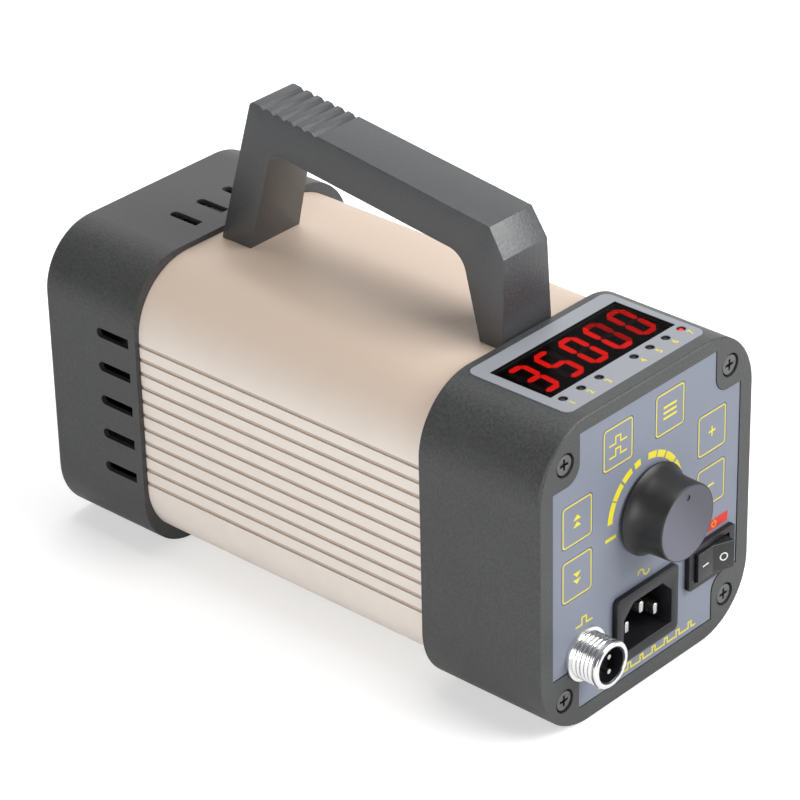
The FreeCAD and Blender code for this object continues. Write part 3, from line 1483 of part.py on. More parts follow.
for start in (s.fuse_y, s.fuse_y + s.fuse_length - s.clip_length):
    cradle = block("clip_blank", around(s.fuse_x, s.clip_width), (start, start + s.clip_length),
                   (main_top, main_top + s.clip_height))
    seat = rod("clip_seat", "Y", fuse_axis, start - OVERCUT, start + s.clip_length + OVERCUT,
               s.fuse_radius + s.clip_gap)
    mouth = block("clip_mouth", around(s.fuse_x, (s.fuse_radius - s.clip_grip) * 2),
                  (start - OVERCUT, start + s.clip_length + OVERCUT),
                  (main_top + s.fuse_lift, main_top + s.clip_height + OVERCUT))
    clips.append(cut("clip", cradle, seat, mouth))
node(group("clip_group", clips), "fuse_clips")


# Tripod bush: a threaded metal bush under the tube, held by a nut inside
turned("tripod_bush", 0, 0, tube_bottom, "Z", [
    (s.bush_bore_radius, -tube_bottom),
    (s.bush_flange_radius, -tube_bottom),
    (s.bush_flange_radius, 0),
    (s.bush_radius, 0),
    (s.bush_radius, s.bush_rise),
    (0, s.bush_rise),
    (0, s.bush_bore_depth - tube_bottom),
    (s.bush_bore_radius, s.bush_bore_depth - tube_bottom),
])
nut_low = tube_bottom + s.tube_wall
node(cut("bush_nut_bored",
         hexagon("bush_nut_blank", "Z", (0, 0), nut_low, nut_low + s.bush_nut_height, s.bush_nut_corner),
         rod("bush_nut_bore", "Z", (0, 0), nut_low - OVERCUT, nut_low + s.bush_nut_height + OVERCUT,
             s.bush_radius + s.shaft_gap)), "tripod_nut")


def check_document():
    """Stops with a plain message if a feature failed or a pocket cut nothing."""
    for feature in doc.Objects:
        if any(word in feature.State for word in ("Invalid", "Error")):
            raise RuntimeError("failed feature: %s %s" % (feature.Name, feature.State))
        if feature.TypeId == "PartDesign::Pocket":
            before = feature.BaseFeature.Shape.Volume
            if not feature.Shape.Volume < before:
                raise RuntimeError("pocket cut nothing: %s" % feature.Name)
    for feature in NODES:
        if feature.Shape.isNull() or not feature.Shape.isValid():
            raise RuntimeError("bad shape: %s" % feature.Label)


doc.recompute()
check_document()
os.makedirs("parts", exist_ok=True)
for feature in NODES:
    feature.Shape.exportStep(os.path.join("parts", feature.Label + ".step"))
    print("%-20s solids %d  volume %.1f" % (feature.Label, len(feature.Shape.Solids), feature.Shape.Volume))
print("nodes", len(NODES))
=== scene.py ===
import json
import math

import bmesh
import bpy
from mathutils import Matrix, Quaternion, Vector


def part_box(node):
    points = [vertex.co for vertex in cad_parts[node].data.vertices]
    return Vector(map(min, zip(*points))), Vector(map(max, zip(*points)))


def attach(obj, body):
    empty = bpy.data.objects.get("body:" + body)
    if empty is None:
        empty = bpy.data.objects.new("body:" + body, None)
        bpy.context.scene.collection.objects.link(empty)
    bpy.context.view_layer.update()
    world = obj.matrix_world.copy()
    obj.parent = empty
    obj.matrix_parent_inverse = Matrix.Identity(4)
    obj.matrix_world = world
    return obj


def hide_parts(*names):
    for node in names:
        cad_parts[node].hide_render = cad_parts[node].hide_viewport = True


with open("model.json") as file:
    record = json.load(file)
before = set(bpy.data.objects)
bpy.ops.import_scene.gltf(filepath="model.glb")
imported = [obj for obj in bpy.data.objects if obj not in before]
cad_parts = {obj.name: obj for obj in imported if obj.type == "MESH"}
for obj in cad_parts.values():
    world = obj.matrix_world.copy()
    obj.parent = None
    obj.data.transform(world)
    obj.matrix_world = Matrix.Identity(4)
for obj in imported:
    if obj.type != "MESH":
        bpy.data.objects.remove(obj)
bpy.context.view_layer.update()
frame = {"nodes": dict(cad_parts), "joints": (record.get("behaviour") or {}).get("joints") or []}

# Camera
# A long lens looks down from the left front, so that the panel, the display, the handle and the ribbed
# left side all show. AIM is the point in metres that it looks at, and the angles lead from there to it.
AIM = Vector((0.0234, 0.0145, 0.0451))
SIGHT_AZIMUTH = math.radians(-47.33)
SIGHT_ELEVATION = math.radians(29.56)
ROLL = math.radians(-1.38)
DISTANCE = 1.2004
FOCAL_LENGTH, SENSOR_WIDTH, FARTHEST = 164.6, 36.0, 20.0
sight = Vector((math.sin(SIGHT_AZIMUTH) * math.cos(SIGHT_ELEVATION),
                -math.cos(SIGHT_AZIMUTH) * math.cos(SIGHT_ELEVATION), math.sin(SIGHT_ELEVATION)))
lens = bpy.data.cameras.new("camera")
lens.lens = FOCAL_LENGTH
lens.sensor_width = SENSOR_WIDTH
lens.clip_end = FARTHEST
camera = bpy.data.objects.new("camera", lens)
camera.matrix_world = Matrix.LocRotScale(
    AIM + sight * DISTANCE, sight.to_track_quat("Z", "Y") @ Quaternion((0, 0, 1), ROLL), None)
bpy.context.collection.objects.link(camera)
bpy.context.scene.camera = camera


# Floor, sky and lamps
# A pale floor with the instrument's soft shadow, a sky that is brightest high behind it at the right, and
# four big soft lamps: before the panel at the right, overhead, behind at the right, and low at the left.
class Value:
    """One number, colour or direction among nodes. Sums on it become nodes of the same tree."""

    def __init__(self, nodes, socket):
        self.nodes = nodes
        self.socket = socket

    def sum(self, operation, first, second=0.0):
        return self.nodes.add("Math", {"operation": operation}, {0: first, 1: second})

    def __add__(self, other):
        return self.sum("ADD", self, other)

    def __radd__(self, other):
        return self.sum("ADD", other, self)

    def __sub__(self, other):
        return self.sum("SUBTRACT", self, other)

    def __rsub__(self, other):
        return self.sum("SUBTRACT", other, self)

    def __mul__(self, other):
        return self.sum("MULTIPLY", self, other)

    def __rmul__(self, other):
        return self.sum("MULTIPLY", other, self)

    def __abs__(self):
        return self.sum("ABSOLUTE", self)

    def __lt__(self, other):
        return self.sum("LESS_THAN", self, other)

    def __gt__(self, other):
        return self.sum("GREATER_THAN", self, other)


class Nodes:
    """A tree of nodes, with the one way in which nodes are added to it."""

    def __init__(self, tree):
        self.tree = tree

    def add(self, kind, settings, sockets, output=0):
        """A node of one type: its settings first, then the values or links of its sockets."""
        node = self.tree.nodes.new("ShaderNode" + kind)
        for name, setting in settings.items():
            setattr(node, name, setting)
        for name, value in sockets.items():
            self.join(node.inputs[name], value)
        return Value(self, node.outputs[output])

    def join(self, socket, value):
        """Links a value to a socket, or sets the socket to a plain number or colour."""
        if isinstance(value, Value):
            self.tree.links.new(value.socket, socket)
        else:
            socket.default_value = value

    def ray(self, kind):
        """1 for the rays of one kind, such as those from the camera, and 0 for all others."""
        return self.add("LightPath", {}, {}, "Is " + kind + " Ray")


class Finish(Nodes):
    """A surface finish: one material with its constants on the shader and its patterns in nodes."""

    def __init__(self, name, colour, roughness, **constants):
        self.material = bpy.data.materials.new(name)
        self.material.use_nodes = True
        super().__init__(self.material.node_tree)
        self.shader = self.tree.nodes["Principled BSDF"]
        self.colour = (*colour, 1.0)
        self.feed(Base_Color=self.colour, Roughness=roughness, **constants)

    def feed(self, **inputs):
        """Sets or links the shader's own sockets. An underscore stands for a space."""
        for name, value in inputs.items():
            self.join(self.shader.inputs[name.replace("_", " ")], value)

    def place(self):
        """The point on the object, in metres."""
        return self.add("TexCoord", {}, {}, "Object")

    def axis(self, letter):
        """One coordinate of the point, in metres."""
        return self.add("SeparateXYZ", {}, {0: self.place()}, letter)

    def noise(self, size, detail=2.0, stretch=(1.0, 1.0, 1.0)):
        """Soft random mottling from 0 to 1, whose spots measure about the given size in metres."""
        point = self.add("VectorMath", {"operation": "MULTIPLY"}, {0: self.place(), 1: stretch})
        return self.add("TexNoise", {}, {"Vector": point, "Scale": 1.0 / size, "Detail": detail})

    def blend(self, low, high, factor):
        """A colour between two others. Sockets 6 and 7 and output 2 are those that carry colours."""
        return self.add("Mix", {"data_type": "RGBA"}, {0: factor, 6: low, 7: high}, 2)

    def shades(self, depth, factor):
        """The finish's own colour, made darker and lighter by a share of itself."""
        low, high = ((*(min(1.0, part * share) for part in self.colour[:3]), 1.0)
                     for share in (1.0 - depth, 1.0 + depth))
        return self.blend(low, high, factor)

    def emboss(self, height, depth):
        """Fine relief: heights from 0 to 1 that stand for the given depth in metres."""
        self.feed(Normal=self.add("Bump", {}, {"Strength": 1.0, "Distance": depth, "Height": height}))


# The floor glows for the eye, more weakly in mirrors, and blends to white with its distance in metres.
WHITE = (1.0, 1.0, 1.0, 1.0)
FLOOR_GLOW, GLOW_NEAR, GLOW_FAR, FLOOR_MIRRORED = (0.5, 0.5, 0.5, 1.0), 0.5, 2.2, 0.4
floor_paint = Finish("floor_paint", (0.80, 0.80, 0.80), 0.9, Specular_IOR_Level=0.0)
plain = Value(floor_paint, floor_paint.shader.outputs[0])
seen = (floor_paint.ray("Camera") + floor_paint.ray("Transmission")
        + FLOOR_MIRRORED * floor_paint.ray("Glossy"))
distance = floor_paint.add("VectorMath", {"operation": "LENGTH"}, {0: floor_paint.place()}, "Value")
far = floor_paint.add("MapRange", {"interpolation_type": "SMOOTHSTEP"}, {
    "Value": distance, "From Min": GLOW_NEAR, "From Max": GLOW_FAR})
glow = floor_paint.add("Emission", {}, {"Color": floor_paint.blend(FLOOR_GLOW, WHITE, far), "Strength": 1.0})
bright = floor_paint.add("AddShader", {}, {0: plain, 1: glow})
lit_floor = floor_paint.add("MixShader", {}, {0: seen, 1: plain, 2: bright})
floor_paint.join(floor_paint.tree.nodes["Material Output"].inputs["Surface"], lit_floor)

FLOOR_SIZE, FLOOR_LEVEL = 6.0, -0.0003
sheet = bmesh.new()
bmesh.ops.create_grid(sheet, x_segments=1, y_segments=1, size=FLOOR_SIZE / 2,
                      matrix=Matrix.Translation((0, 0, FLOOR_LEVEL)))
floor_mesh = bpy.data.meshes.new("floor")
sheet.to_mesh(floor_mesh)
sheet.free()
floor_mesh.materials.append(floor_paint.material)
floor = bpy.data.objects.new("floor", floor_mesh)
bpy.context.collection.objects.link(floor)

# The eye sees the sky plain white, and mirrors see it SKY_MIRRORED times as bright as it shines. It grows
# brighter from SKY_DIM to SKY_BRIGHT, which are places along the way to its bright side.
SKY_LOW, SKY_HIGH, SKY_MIRRORED, SKY_SEEN = 0.0125, 0.039, 8.0, 1.0
SKY_SIDE = Vector((0.62, 0.55, 0.56)).normalized()
SKY_DIM, SKY_BRIGHT = -0.3, 0.9
world = bpy.data.worlds.new("sky")
world.use_nodes = True
bpy.context.scene.world = world
sky = Nodes(world.node_tree)
outward = sky.add("TexCoord", {}, {}, "Generated")
turned = sky.add("VectorMath", {"operation": "DOT_PRODUCT"}, {0: outward, 1: SKY_SIDE}, "Value")
level = sky.add("MapRange", {"interpolation_type": "SMOOTHSTEP"}, {
    "Value": turned, "From Min": SKY_DIM, "From Max": SKY_BRIGHT, "To Min": SKY_LOW, "To Max": SKY_HIGH})
mirrored = sky.add("Mix", {}, {"Factor": sky.ray("Glossy"), "A": level, "B": level * SKY_MIRRORED}, "Result")
strength = sky.add("Mix", {}, {
    "Factor": sky.ray("Camera") + sky.ray("Transmission"), "A": mirrored, "B": SKY_SEEN}, "Result")
background = sky.tree.nodes["Background"]
sky.join(background.inputs["Color"], WHITE)
sky.join(background.inputs["Strength"], strength)

bpy.context.scene.view_settings.view_transform = "Standard"


def lamp(name, place, size, power):
    """A square soft lamp that looks at the instrument. Its place and size are in metres."""
    light = bpy.data.lights.new(name, "AREA")
    light.shape = "SQUARE"
    light.size = size
    light.energy = power
    holder = bpy.data.objects.new(name, light)
    holder.matrix_world = Matrix.LocRotScale(place, (place - AIM).to_track_quat("Z", "Y"), None)
    bpy.context.collection.objects.link(holder)


lamp("front_lamp", Vector((0.62, -1.15, 0.98)), size=1.2, power=28.5)
lamp("high_lamp", Vector((0.1, 0.1, 1.5)), size=0.8, power=9.0)
lamp("back_lamp", Vector((0.98, 0.9, 0.79)), size=1.6, power=7.0)
lamp("left_lamp", Vector((-1.3, -0.35, 0.35)), size=0.9, power=10.6)


# Body tube
# An aluminium extrusion with a row of fine grooves along each side, powder coated in ivory. Painted shade
# makes the groove floors grey-brown and the top of the tube darker and warmer than its sides.
MM = 0.001


def dress(finish, *nodes):
    """Gives carried-over pieces of the frame their finish."""
    for name in nodes:
        mesh = frame["nodes"][name].data
        mesh.materials.clear()
        mesh.materials.append(finish.material)


# Painted shade: a grey-brown on the groove floors, and a darker, warmer tan over the top of the tube.
GROOVE_PAINTED_SHADE, GROOVE_EDGE, GROOVE_REACH, WALL = (0.62, 0.52, 0.45, 1.0), 0.45 * MM, 27.0 * MM, 1.2 * MM
TOP_PAINTED_SHADE, TOP_SHADE_FROM, TOP_SHADE_FULL = (0.66, 0.53, 0.43, 1.0), 22.0 * MM, 48.0 * MM
tube_low, tube_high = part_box("body_tube")
middle = (tube_low.z + tube_high.z) / 2
groove_floor = tube_high.x - GROOVE_EDGE
ivory = Finish("ivory_coat", (0.90, 0.82, 0.75), 0.42, Specular_IOR_Level=0.35)
on_side = abs(ivory.axis("Z") - middle) < GROOVE_REACH
in_groove = (abs(ivory.axis("X")) < groove_floor) * on_side
on_wall = abs(ivory.axis("X")) > groove_floor - WALL
# The painted shade of the top grows in between 22 and 48 mm above the tube's middle.
top_shade = ivory.add("MapRange", {"interpolation_type": "SMOOTHSTEP"}, {
    "Value": ivory.axis("Z") - middle, "From Min": TOP_SHADE_FROM, "From Max": TOP_SHADE_FULL})
coat_and_top_shade = ivory.blend(ivory.shades(0.03, ivory.noise(9 * MM)), TOP_PAINTED_SHADE, top_shade)
# The groove floors get their painted shade here.
ivory.feed(Base_Color=ivory.blend(coat_and_top_shade, GROOVE_PAINTED_SHADE, in_groove * on_wall),
           Roughness=0.38 + 0.10 * ivory.noise(4 * MM))
ivory.emboss(ivory.noise(0.7 * MM), depth=0.012 * MM)
dress(ivory, "body_tube")


# Control cap and lamp cap
# Two deep cups, injection moulded in dark grey plastic with a fine sparked grain. They slip over the ends
# of the tube and are held by four screws each. Their rounded edges come with the solids.
SPECKLE_FROM, SPECKLE_FULL, CLOUD = 0.32, 0.68, 14 * MM


def moulded(name, colour, roughness, grain, depth, gloss=0.5):
    """A moulded plastic with fine grain and slight unevenness of its colour."""
    finish = Finish(name, colour, roughness, Specular_IOR_Level=gloss)
    speckle = finish.add("MapRange", {}, {
        "Value": finish.noise(grain, 3.0), "From Min": SPECKLE_FROM, "From Max": SPECKLE_FULL})
    finish.feed(Base_Color=finish.shades(0.3, 0.75 * speckle + 0.25 * finish.noise(CLOUD)),
                Roughness=roughness - 0.06 + 0.12 * speckle)
    finish.emboss(speckle, depth)
    return finish


cap_grey = moulded("cap_plastic", (0.052, 0.053, 0.054), 0.44, grain=0.9 * MM, depth=0.035 * MM)
dress(cap_grey, "control_cap", "lamp_cap")


# Carrying handle
# A solid bow, moulded in a darker and glossier plastic than the caps and screwed down from inside the
# tube. Its edges are rounded by half a millimetre, and six grooves across its grip stop the fingers.
SAME_POINT, SAME_PLANE, SHARP_EDGE, SMOOTH_LIMIT = 0.002 * MM, 0.6, 25.0, 32.0


def rounded(node, width, segments=3):
    """A frame node's mesh with its loose triangles merged to whole faces and its sharp edges rounded."""
    work = bmesh.new()
    work.from_mesh(frame["nodes"][node].data)
    bmesh.ops.remove_doubles(work, verts=work.verts, dist=SAME_POINT)
    bmesh.ops.dissolve_limit(work, angle_limit=math.radians(SAME_PLANE), verts=work.verts, edges=work.edges)
    sharp = [edge for edge in work.edges
             if len(edge.link_faces) == 2 and edge.calc_face_angle(0.0) > math.radians(SHARP_EDGE)]
    bmesh.ops.bevel(work, geom=sharp, offset=width, offset_type="OFFSET", segments=segments, profile=0.5,
                    affect="EDGES", material=-1, clamp_overlap=True, harden_normals=False)
    return work


def piece(name, work, body, slot, finish, *replaced):
    """Makes a worked mesh a piece of the instrument: smooth up to its sharp edges, riding on its body."""
    mesh = bpy.data.meshes.new(name)
    work.to_mesh(mesh)
    work.free()
    mesh.polygons.foreach_set("use_smooth", [True] * len(mesh.polygons))
    mesh.set_sharp_from_angle(angle=math.radians(SMOOTH_LIMIT))
    mesh.materials.append(finish.material)
    made = bpy.data.objects.new(name, mesh)
    bpy.context.collection.objects.link(made)
    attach(made, body)
    if replaced:
        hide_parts(*replaced)


handle_grey = moulded("handle_plastic", (0.034, 0.036, 0.039), 0.42, grain=0.9 * MM, depth=0.035 * MM,
                      gloss=0.95)
piece("handle_bow", rounded("handle", width=0.55 * MM), "housing", "handle_plastic", handle_grey, "handle")


# Housing screws
# Blackened pan screws with cross recesses, four through each cap. Their heads sit in sinks of the caps,
# and the edges of heads and recesses are rounded a little.
screw_black = Finish("screw_steel", (0.16, 0.16, 0.165), 0.34, Metallic=1.0)
screw_black.feed(Roughness=0.28 + 0.16 * screw_black.noise(0.8 * MM))
for name in ("panel_screws", "lamp_screws"):
    piece(name + "_finished", rounded(name, width=0.3 * MM), "housing", "dark_screw", screw_black, name)


# Panel overlay
# A plastic film with a satin face, printed in blue grey and glued into the recess of the panel. The six
# keys stand in its openings and carry the same print.
INK_GRAIN, INK_CLOUD = 0.4 * MM, 20 * MM


def printed(name, colour, roughness=0.46):
    """A satin printed film: even ink with a very fine texture."""
    finish = Finish(name, colour, roughness, Specular_IOR_Level=0.4)
    speckle = finish.noise(INK_GRAIN, 3.0)
    finish.feed(Base_Color=finish.shades(0.05, 0.5 * speckle + 0.5 * finish.noise(INK_CLOUD)))
    finish.emboss(speckle, depth=0.008 * MM)
    return finish


KEYS = ("key_signal", "key_mode", "key_plus", "key_minus", "key_double", "key_half")
dress(printed("panel_ink", (0.215, 0.235, 0.295)), "panel_overlay", *KEYS)


# Marks on the keys
# Each key is outlined by a thin layer of yellow ink, and its sign stands in the middle: plus and minus,
# a double triangle up and one down, three bars for the mode, and two pulses for the signal.
INK, JOINED = 0.04, 0.0005
yellow_ink = printed("yellow_ink", (0.78, 0.68, 0.03), 0.5)
panel_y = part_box("panel_overlay")[0].y


def on_panel(x, z, y=panel_y):
    """Turns a drawing in millimetres, seen from the front, onto the panel at a place in metres."""
    return Matrix(((MM, 0, 0, x), (0, 0, -MM, y), (0, MM, 0, z), (0, 0, 0, 1)))


def shape(work, points):
    """A flat face through points."""
    return work.faces.new([work.verts.new((across, upward, 0.0)) for across, upward in points])


def patch(work, left, bottom, right, top):
    """A flat rectangle."""
    shape(work, ((left, bottom), (right, bottom), (right, top), (left, top)))


def border(work, half_width, half_height, corner, line, steps=6):
    """The border line of a rectangle with rounded corners, centred on the drawing."""
    loops = []
    for inset in (0.0, line):
        loop = []
        for quarter, (side, rise) in enumerate(((1, 1), (-1, 1), (-1, -1), (1, -1))):
            for step in range(steps + 1):
                turn = math.radians(90 * quarter + 90 * step / steps)
                loop.append(work.verts.new((
                    side * (half_width - corner) + (corner - inset) * math.cos(turn),
                    rise * (half_height - corner) + (corner - inset) * math.sin(turn), 0.0)))
        loops.append(loop)
    outer, inner = loops
    for number in range(len(outer)):
        work.faces.new((outer[number - 1], outer[number], inner[number], inner[number - 1]))


def pulse(work, left, bottom, width, height, line):
    """One square pulse, drawn as a line."""
    step = width / 3
    patch(work, left, bottom, left + step + line, bottom + line)
    patch(work, left + step, bottom + line, left + step + line, bottom + height - line)
    patch(work, left + step, bottom + height - line, left + 2 * step, bottom + height)
    patch(work, left + 2 * step - line, bottom + line, left + 2 * step, bottom + height - line)
    patch(work, left + 2 * step - line, bottom, left + width, bottom + line)


def inked(name, work, place, body, slot, finish, thickness=INK):
    """Gives a flat drawing its thickness and lays it on the surface that carries it."""
    bmesh.ops.remove_doubles(work, verts=work.verts, dist=JOINED)
    bmesh.ops.recalc_face_normals(work, faces=work.faces)
    for face in work.faces:
        if face.normal.z < 0:
            face.normal_flip()
    grown = bmesh.ops.extrude_face_region(work, geom=work.faces[:], use_keep_orig=True)
    upper = [part for part in grown["geom"] if isinstance(part, bmesh.types.BMVert)]
    bmesh.ops.translate(work, verts=upper, vec=(0.0, 0.0, thickness))
    bmesh.ops.recalc_face_normals(work, faces=work.faces)
    bmesh.ops.transform(work, matrix=place, verts=work.verts)
    piece(name, work, body, slot, finish)


KEY_MARGIN, KEY_CORNER, KEY_LINE = 1.25, 1.3, 0.42
PLUS_ARM, MINUS_ARM, HALF_LINE = 1.7, 1.6, 0.31
TRIANGLE_HALF, TRIANGLE_HEIGHT, TRIANGLE_FEET = 1.8, 1.7, (-1.5, 0.9)
BAR_HALF, BAR_HALF_LINE, BAR_LEVELS = 3.2, 0.35, (-1.9, 0.0, 1.9)
PULSE_LEFT, PULSE_WIDTH, PULSE_HEIGHT, PULSE_LINE, PULSE_FEET = -4.2, 8.4, 2.8, 0.5, (0.7, -3.5)
for name in KEYS:
    low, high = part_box(name)
    half_width = (high.x - low.x) / 2 / MM - KEY_MARGIN
    half_height = (high.z - low.z) / 2 / MM - KEY_MARGIN
    drawing = bmesh.new()
    border(drawing, half_width, half_height, KEY_CORNER, KEY_LINE)
    if name == "key_plus":
        patch(drawing, -PLUS_ARM, -HALF_LINE, PLUS_ARM, HALF_LINE)
        patch(drawing, -HALF_LINE, HALF_LINE, HALF_LINE, PLUS_ARM)
        patch(drawing, -HALF_LINE, -PLUS_ARM, HALF_LINE, -HALF_LINE)
    elif name == "key_minus":
        patch(drawing, -MINUS_ARM, -HALF_LINE, MINUS_ARM, HALF_LINE)
    elif name in ("key_double", "key_half"):
        way = 1 if name == "key_double" else -1
        for rise in TRIANGLE_FEET:
            shape(drawing, ((-TRIANGLE_HALF * way, rise * way), (TRIANGLE_HALF * way, rise * way),
                            (0.0, (rise + TRIANGLE_HEIGHT) * way)))
    elif name == "key_mode":
        for rise in BAR_LEVELS:
            patch(drawing, -BAR_HALF, rise - BAR_HALF_LINE, BAR_HALF, rise + BAR_HALF_LINE)
    else:
        for foot in PULSE_FEET:
            pulse(drawing, PULSE_LEFT, foot, PULSE_WIDTH, PULSE_HEIGHT, PULSE_LINE)
    spot = on_panel((low.x + high.x) / 2, (low.z + high.z) / 2, low.y)
    inked(name + "_marks", drawing, spot, name, "key_print", yellow_ink)


# Marks on the panel
# A tick and eight dashes of a ring stand round the knob, a wave over the mains inlet, a pulse over the
# trigger connector, and a red band with a power sign over the switch. A train of pulses runs at the foot.
def arc(work, centre, inner, outer, start, end, steps=12):
    """A flat piece of a ring between two angles in degrees."""
    spot = Vector((*centre, 0.0))
    turn = Matrix.Rotation(math.radians(start), 4, "Z")
    ends = [work.verts.new(spot + turn @ Vector((radius, 0, 0))) for radius in (inner, outer)]
    edge = work.edges.new(ends)
    bmesh.ops.spin(work, geom=[*ends, edge], cent=spot, axis=(0, 0, 1), angle=math.radians(end - start),
                   steps=steps, use_merge=False)


# All places are in millimetres from the housing's axis, as left, bottom, right and top where they are four.
axis_z = (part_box("control_cap")[0].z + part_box("control_cap")[1].z) / 2
DIAL_CENTRE, DIAL_INNER, DIAL_OUTER, DIAL_TICK = (-1.2, 9.8), 15.75, 18.05, (-20.2, 5.3, -15.1, 6.5)
DASHES = ((176, 151.5), (150, 131.5), (128.5, 113), (108, 98.5), (86, 72.5), (70.5, 57), (54.5, 36), (33, 8))
WAVE_CENTRE, WAVE_LEVEL, WAVE_RADIUS, WAVE_LINE = -1.5, -13.4, 1.35, 0.28
LINE, TRAIN_START, TRAIN_FOOT, TRAIN_PITCH, TRAIN_HEIGHT, TRAIN_COUNT = 0.55, -23.0, -45.6, 6.0, 2.6, 8
panel_marks = bmesh.new()
patch(panel_marks, *DIAL_TICK)
for start, end in DASHES:
    arc(panel_marks, DIAL_CENTRE, DIAL_INNER, DIAL_OUTER, start, end)
for side, span in ((-1, (0, 180)), (1, (180, 360))):
    arc(panel_marks, (WAVE_CENTRE + side * WAVE_RADIUS, WAVE_LEVEL), WAVE_RADIUS - WAVE_LINE,
        WAVE_RADIUS + WAVE_LINE, *span)
pulse(panel_marks, left=-34.0, bottom=-18.2, width=8.0, height=3.0, line=LINE)
for number in range(TRAIN_COUNT):
    pulse(panel_marks, TRAIN_START + number * TRAIN_PITCH, TRAIN_FOOT, TRAIN_PITCH, TRAIN_HEIGHT, LINE)
inked("panel_marks", panel_marks, on_panel(0.0, axis_z), "housing", "panel_print", yellow_ink)

POWER_BAND, POWER_STEM = (26.4, -14.3, 40.2, -10.7), (33.1, -12.4, 33.5, -11.0)
POWER_CENTRE, POWER_INNER, POWER_OUTER = (33.3, -12.6), 0.85, 1.25
red_ink = printed("red_ink", (0.60, 0.03, 0.015), 0.5)
orange_ink = printed("orange_ink", (0.85, 0.32, 0.03), 0.5)
band, power_sign = bmesh.new(), bmesh.new()
patch(band, *POWER_BAND)
arc(power_sign, POWER_CENTRE, POWER_INNER, POWER_OUTER, start=-235, end=55, steps=24)
patch(power_sign, *POWER_STEM)
on_band = on_panel(0.0, axis_z, panel_y - INK * MM)
inked("power_band", band, on_panel(0.0, axis_z), "housing", "panel_print", red_ink)
inked("power_sign", power_sign, on_band, "housing", "panel_print", orange_ink)


# Display
# A printed label lies on top of the cap. Its dark filter window covers five seven-segment digits on their
# own board, and seven small lamps stand through holes in front of it, of which the last is lit.
dress(printed("label_ink", (0.30, 0.315, 0.345)), "display_label")
filter_glass = Finish("filter_window", (0.002, 0.001, 0.001), 0.2, Alpha=0.45, IOR=1.2,
                      Specular_IOR_Level=0.1)
filter_glass.feed(Roughness=0.15 + 0.05 * filter_glass.noise(12 * MM))
dress(filter_glass, "display_window")
digit_face = Finish("digit_face", (0.002, 0.0015, 0.0015), 0.6, IOR=1.2, Specular_IOR_Level=0.1)
digit_face.feed(Roughness=0.5 + 0.1 * digit_face.noise(2 * MM))
dress(digit_face, "digit_modules")


def flat_on_top(x, y, z):
    """Lays a drawing in millimetres flat on top at a place in metres."""
    return Matrix.LocRotScale((x, y, z), None, (MM, MM, MM))


SLANT = 0.1


def bar(work, x, y, length, stroke, upright):
    """One segment of a figure: a bar with pointed ends, leaning with the figure."""
    end, half = length / 2, stroke / 2
    points = [(-end, 0), (half - end, -half), (end - half, -half), (end, 0), (end - half, half),
              (half - end, half)]
    if upright:
        points = [(-rise, along) for along, rise in points]
    shape(work, [(x + across + (y + rise) * SLANT, y + rise) for across, rise in points])


# Each segment's place is given in half widths and half heights of its figure, from the figure's middle.
SEGMENTS = {"a": (0, 1), "b": (1, 0.5), "c": (1, -0.5), "d": (0, -1), "e": (-1, -0.5), "f": (-1, 0.5),
            "g": (0, 0)}
SHAPES = {"0": "abcdef", "3": "abcdg", "5": "acdfg"}
READING = "35000"
MODULE_WIDTH = 11.1
HALF_WIDTH, HALF_HEIGHT, STROKE, GAP = 2.95, 7.9, 2.15, 0.15
READING_RIGHT, READING_BACK, LIT_LAYER, UNLIT_LAYER = 0.7 * MM, 0.6 * MM, 0.1, 0.05
digits_low, digits_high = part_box("digit_modules")
pitch = ((digits_high.x - digits_low.x) / MM - MODULE_WIDTH) / (len(READING) - 1)
on_digits = flat_on_top((digits_low.x + digits_high.x) / 2 + READING_RIGHT,
                        (digits_low.y + digits_high.y) / 2 + READING_BACK, digits_high.z)
lit, unlit = bmesh.new(), bmesh.new()
for number, figure in enumerate(READING):
    centre = (number - (len(READING) - 1) / 2) * pitch
    for letter, (across, up) in SEGMENTS.items():
        length = HALF_HEIGHT if across else 2 * HALF_WIDTH
        bar(lit if letter in SHAPES[figure] else unlit, centre + across * HALF_WIDTH, up * HALF_HEIGHT,
            length - GAP, STROKE, across != 0)
lit_red = Finish("lit_segments", (0.4, 0.01, 0.01), 0.5, Emission_Color=(1.0, 0.008, 0.004, 1.0),
                 Emission_Strength=1.2, Specular_IOR_Level=0.1)
lit_red.feed(Base_Color=lit_red.shades(0.1, lit_red.noise(2 * MM)))
inked("lit_segments", lit, on_digits, "housing", "digit_black", lit_red, LIT_LAYER)
unlit_grey = Finish("unlit_segments", (0.04, 0.012, 0.012), 0.5, Specular_IOR_Level=0.1)
unlit_grey.feed(Base_Color=unlit_grey.shades(0.1, unlit_grey.noise(2 * MM)))
inked("unlit_segments", unlit, on_digits, "housing", "digit_black", unlit_grey, UNLIT_LAYER)

LAST_LAMP = 3.5 * MM
lamp_low, lamp_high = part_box("indicator_lamps")
lamp_dome = Finish("indicator_dome", (0.008, 0.006, 0.006), 0.3, Emission_Strength=0.9,
                   Specular_IOR_Level=0.25)
is_lit = lamp_dome.axis("X") > lamp_high.x - LAST_LAMP
lamp_dome.feed(Base_Color=lamp_dome.blend((0.008, 0.006, 0.006, 1.0), (0.45, 0.02, 0.02, 1.0), is_lit),
               Emission_Color=lamp_dome.blend((0.0, 0.0, 0.0, 1.0), (0.9, 0.02, 0.02, 1.0), is_lit))
dress(lamp_dome, "indicator_lamps")

FIGURE_SHARE, BOLDER = 0.7, 0.025


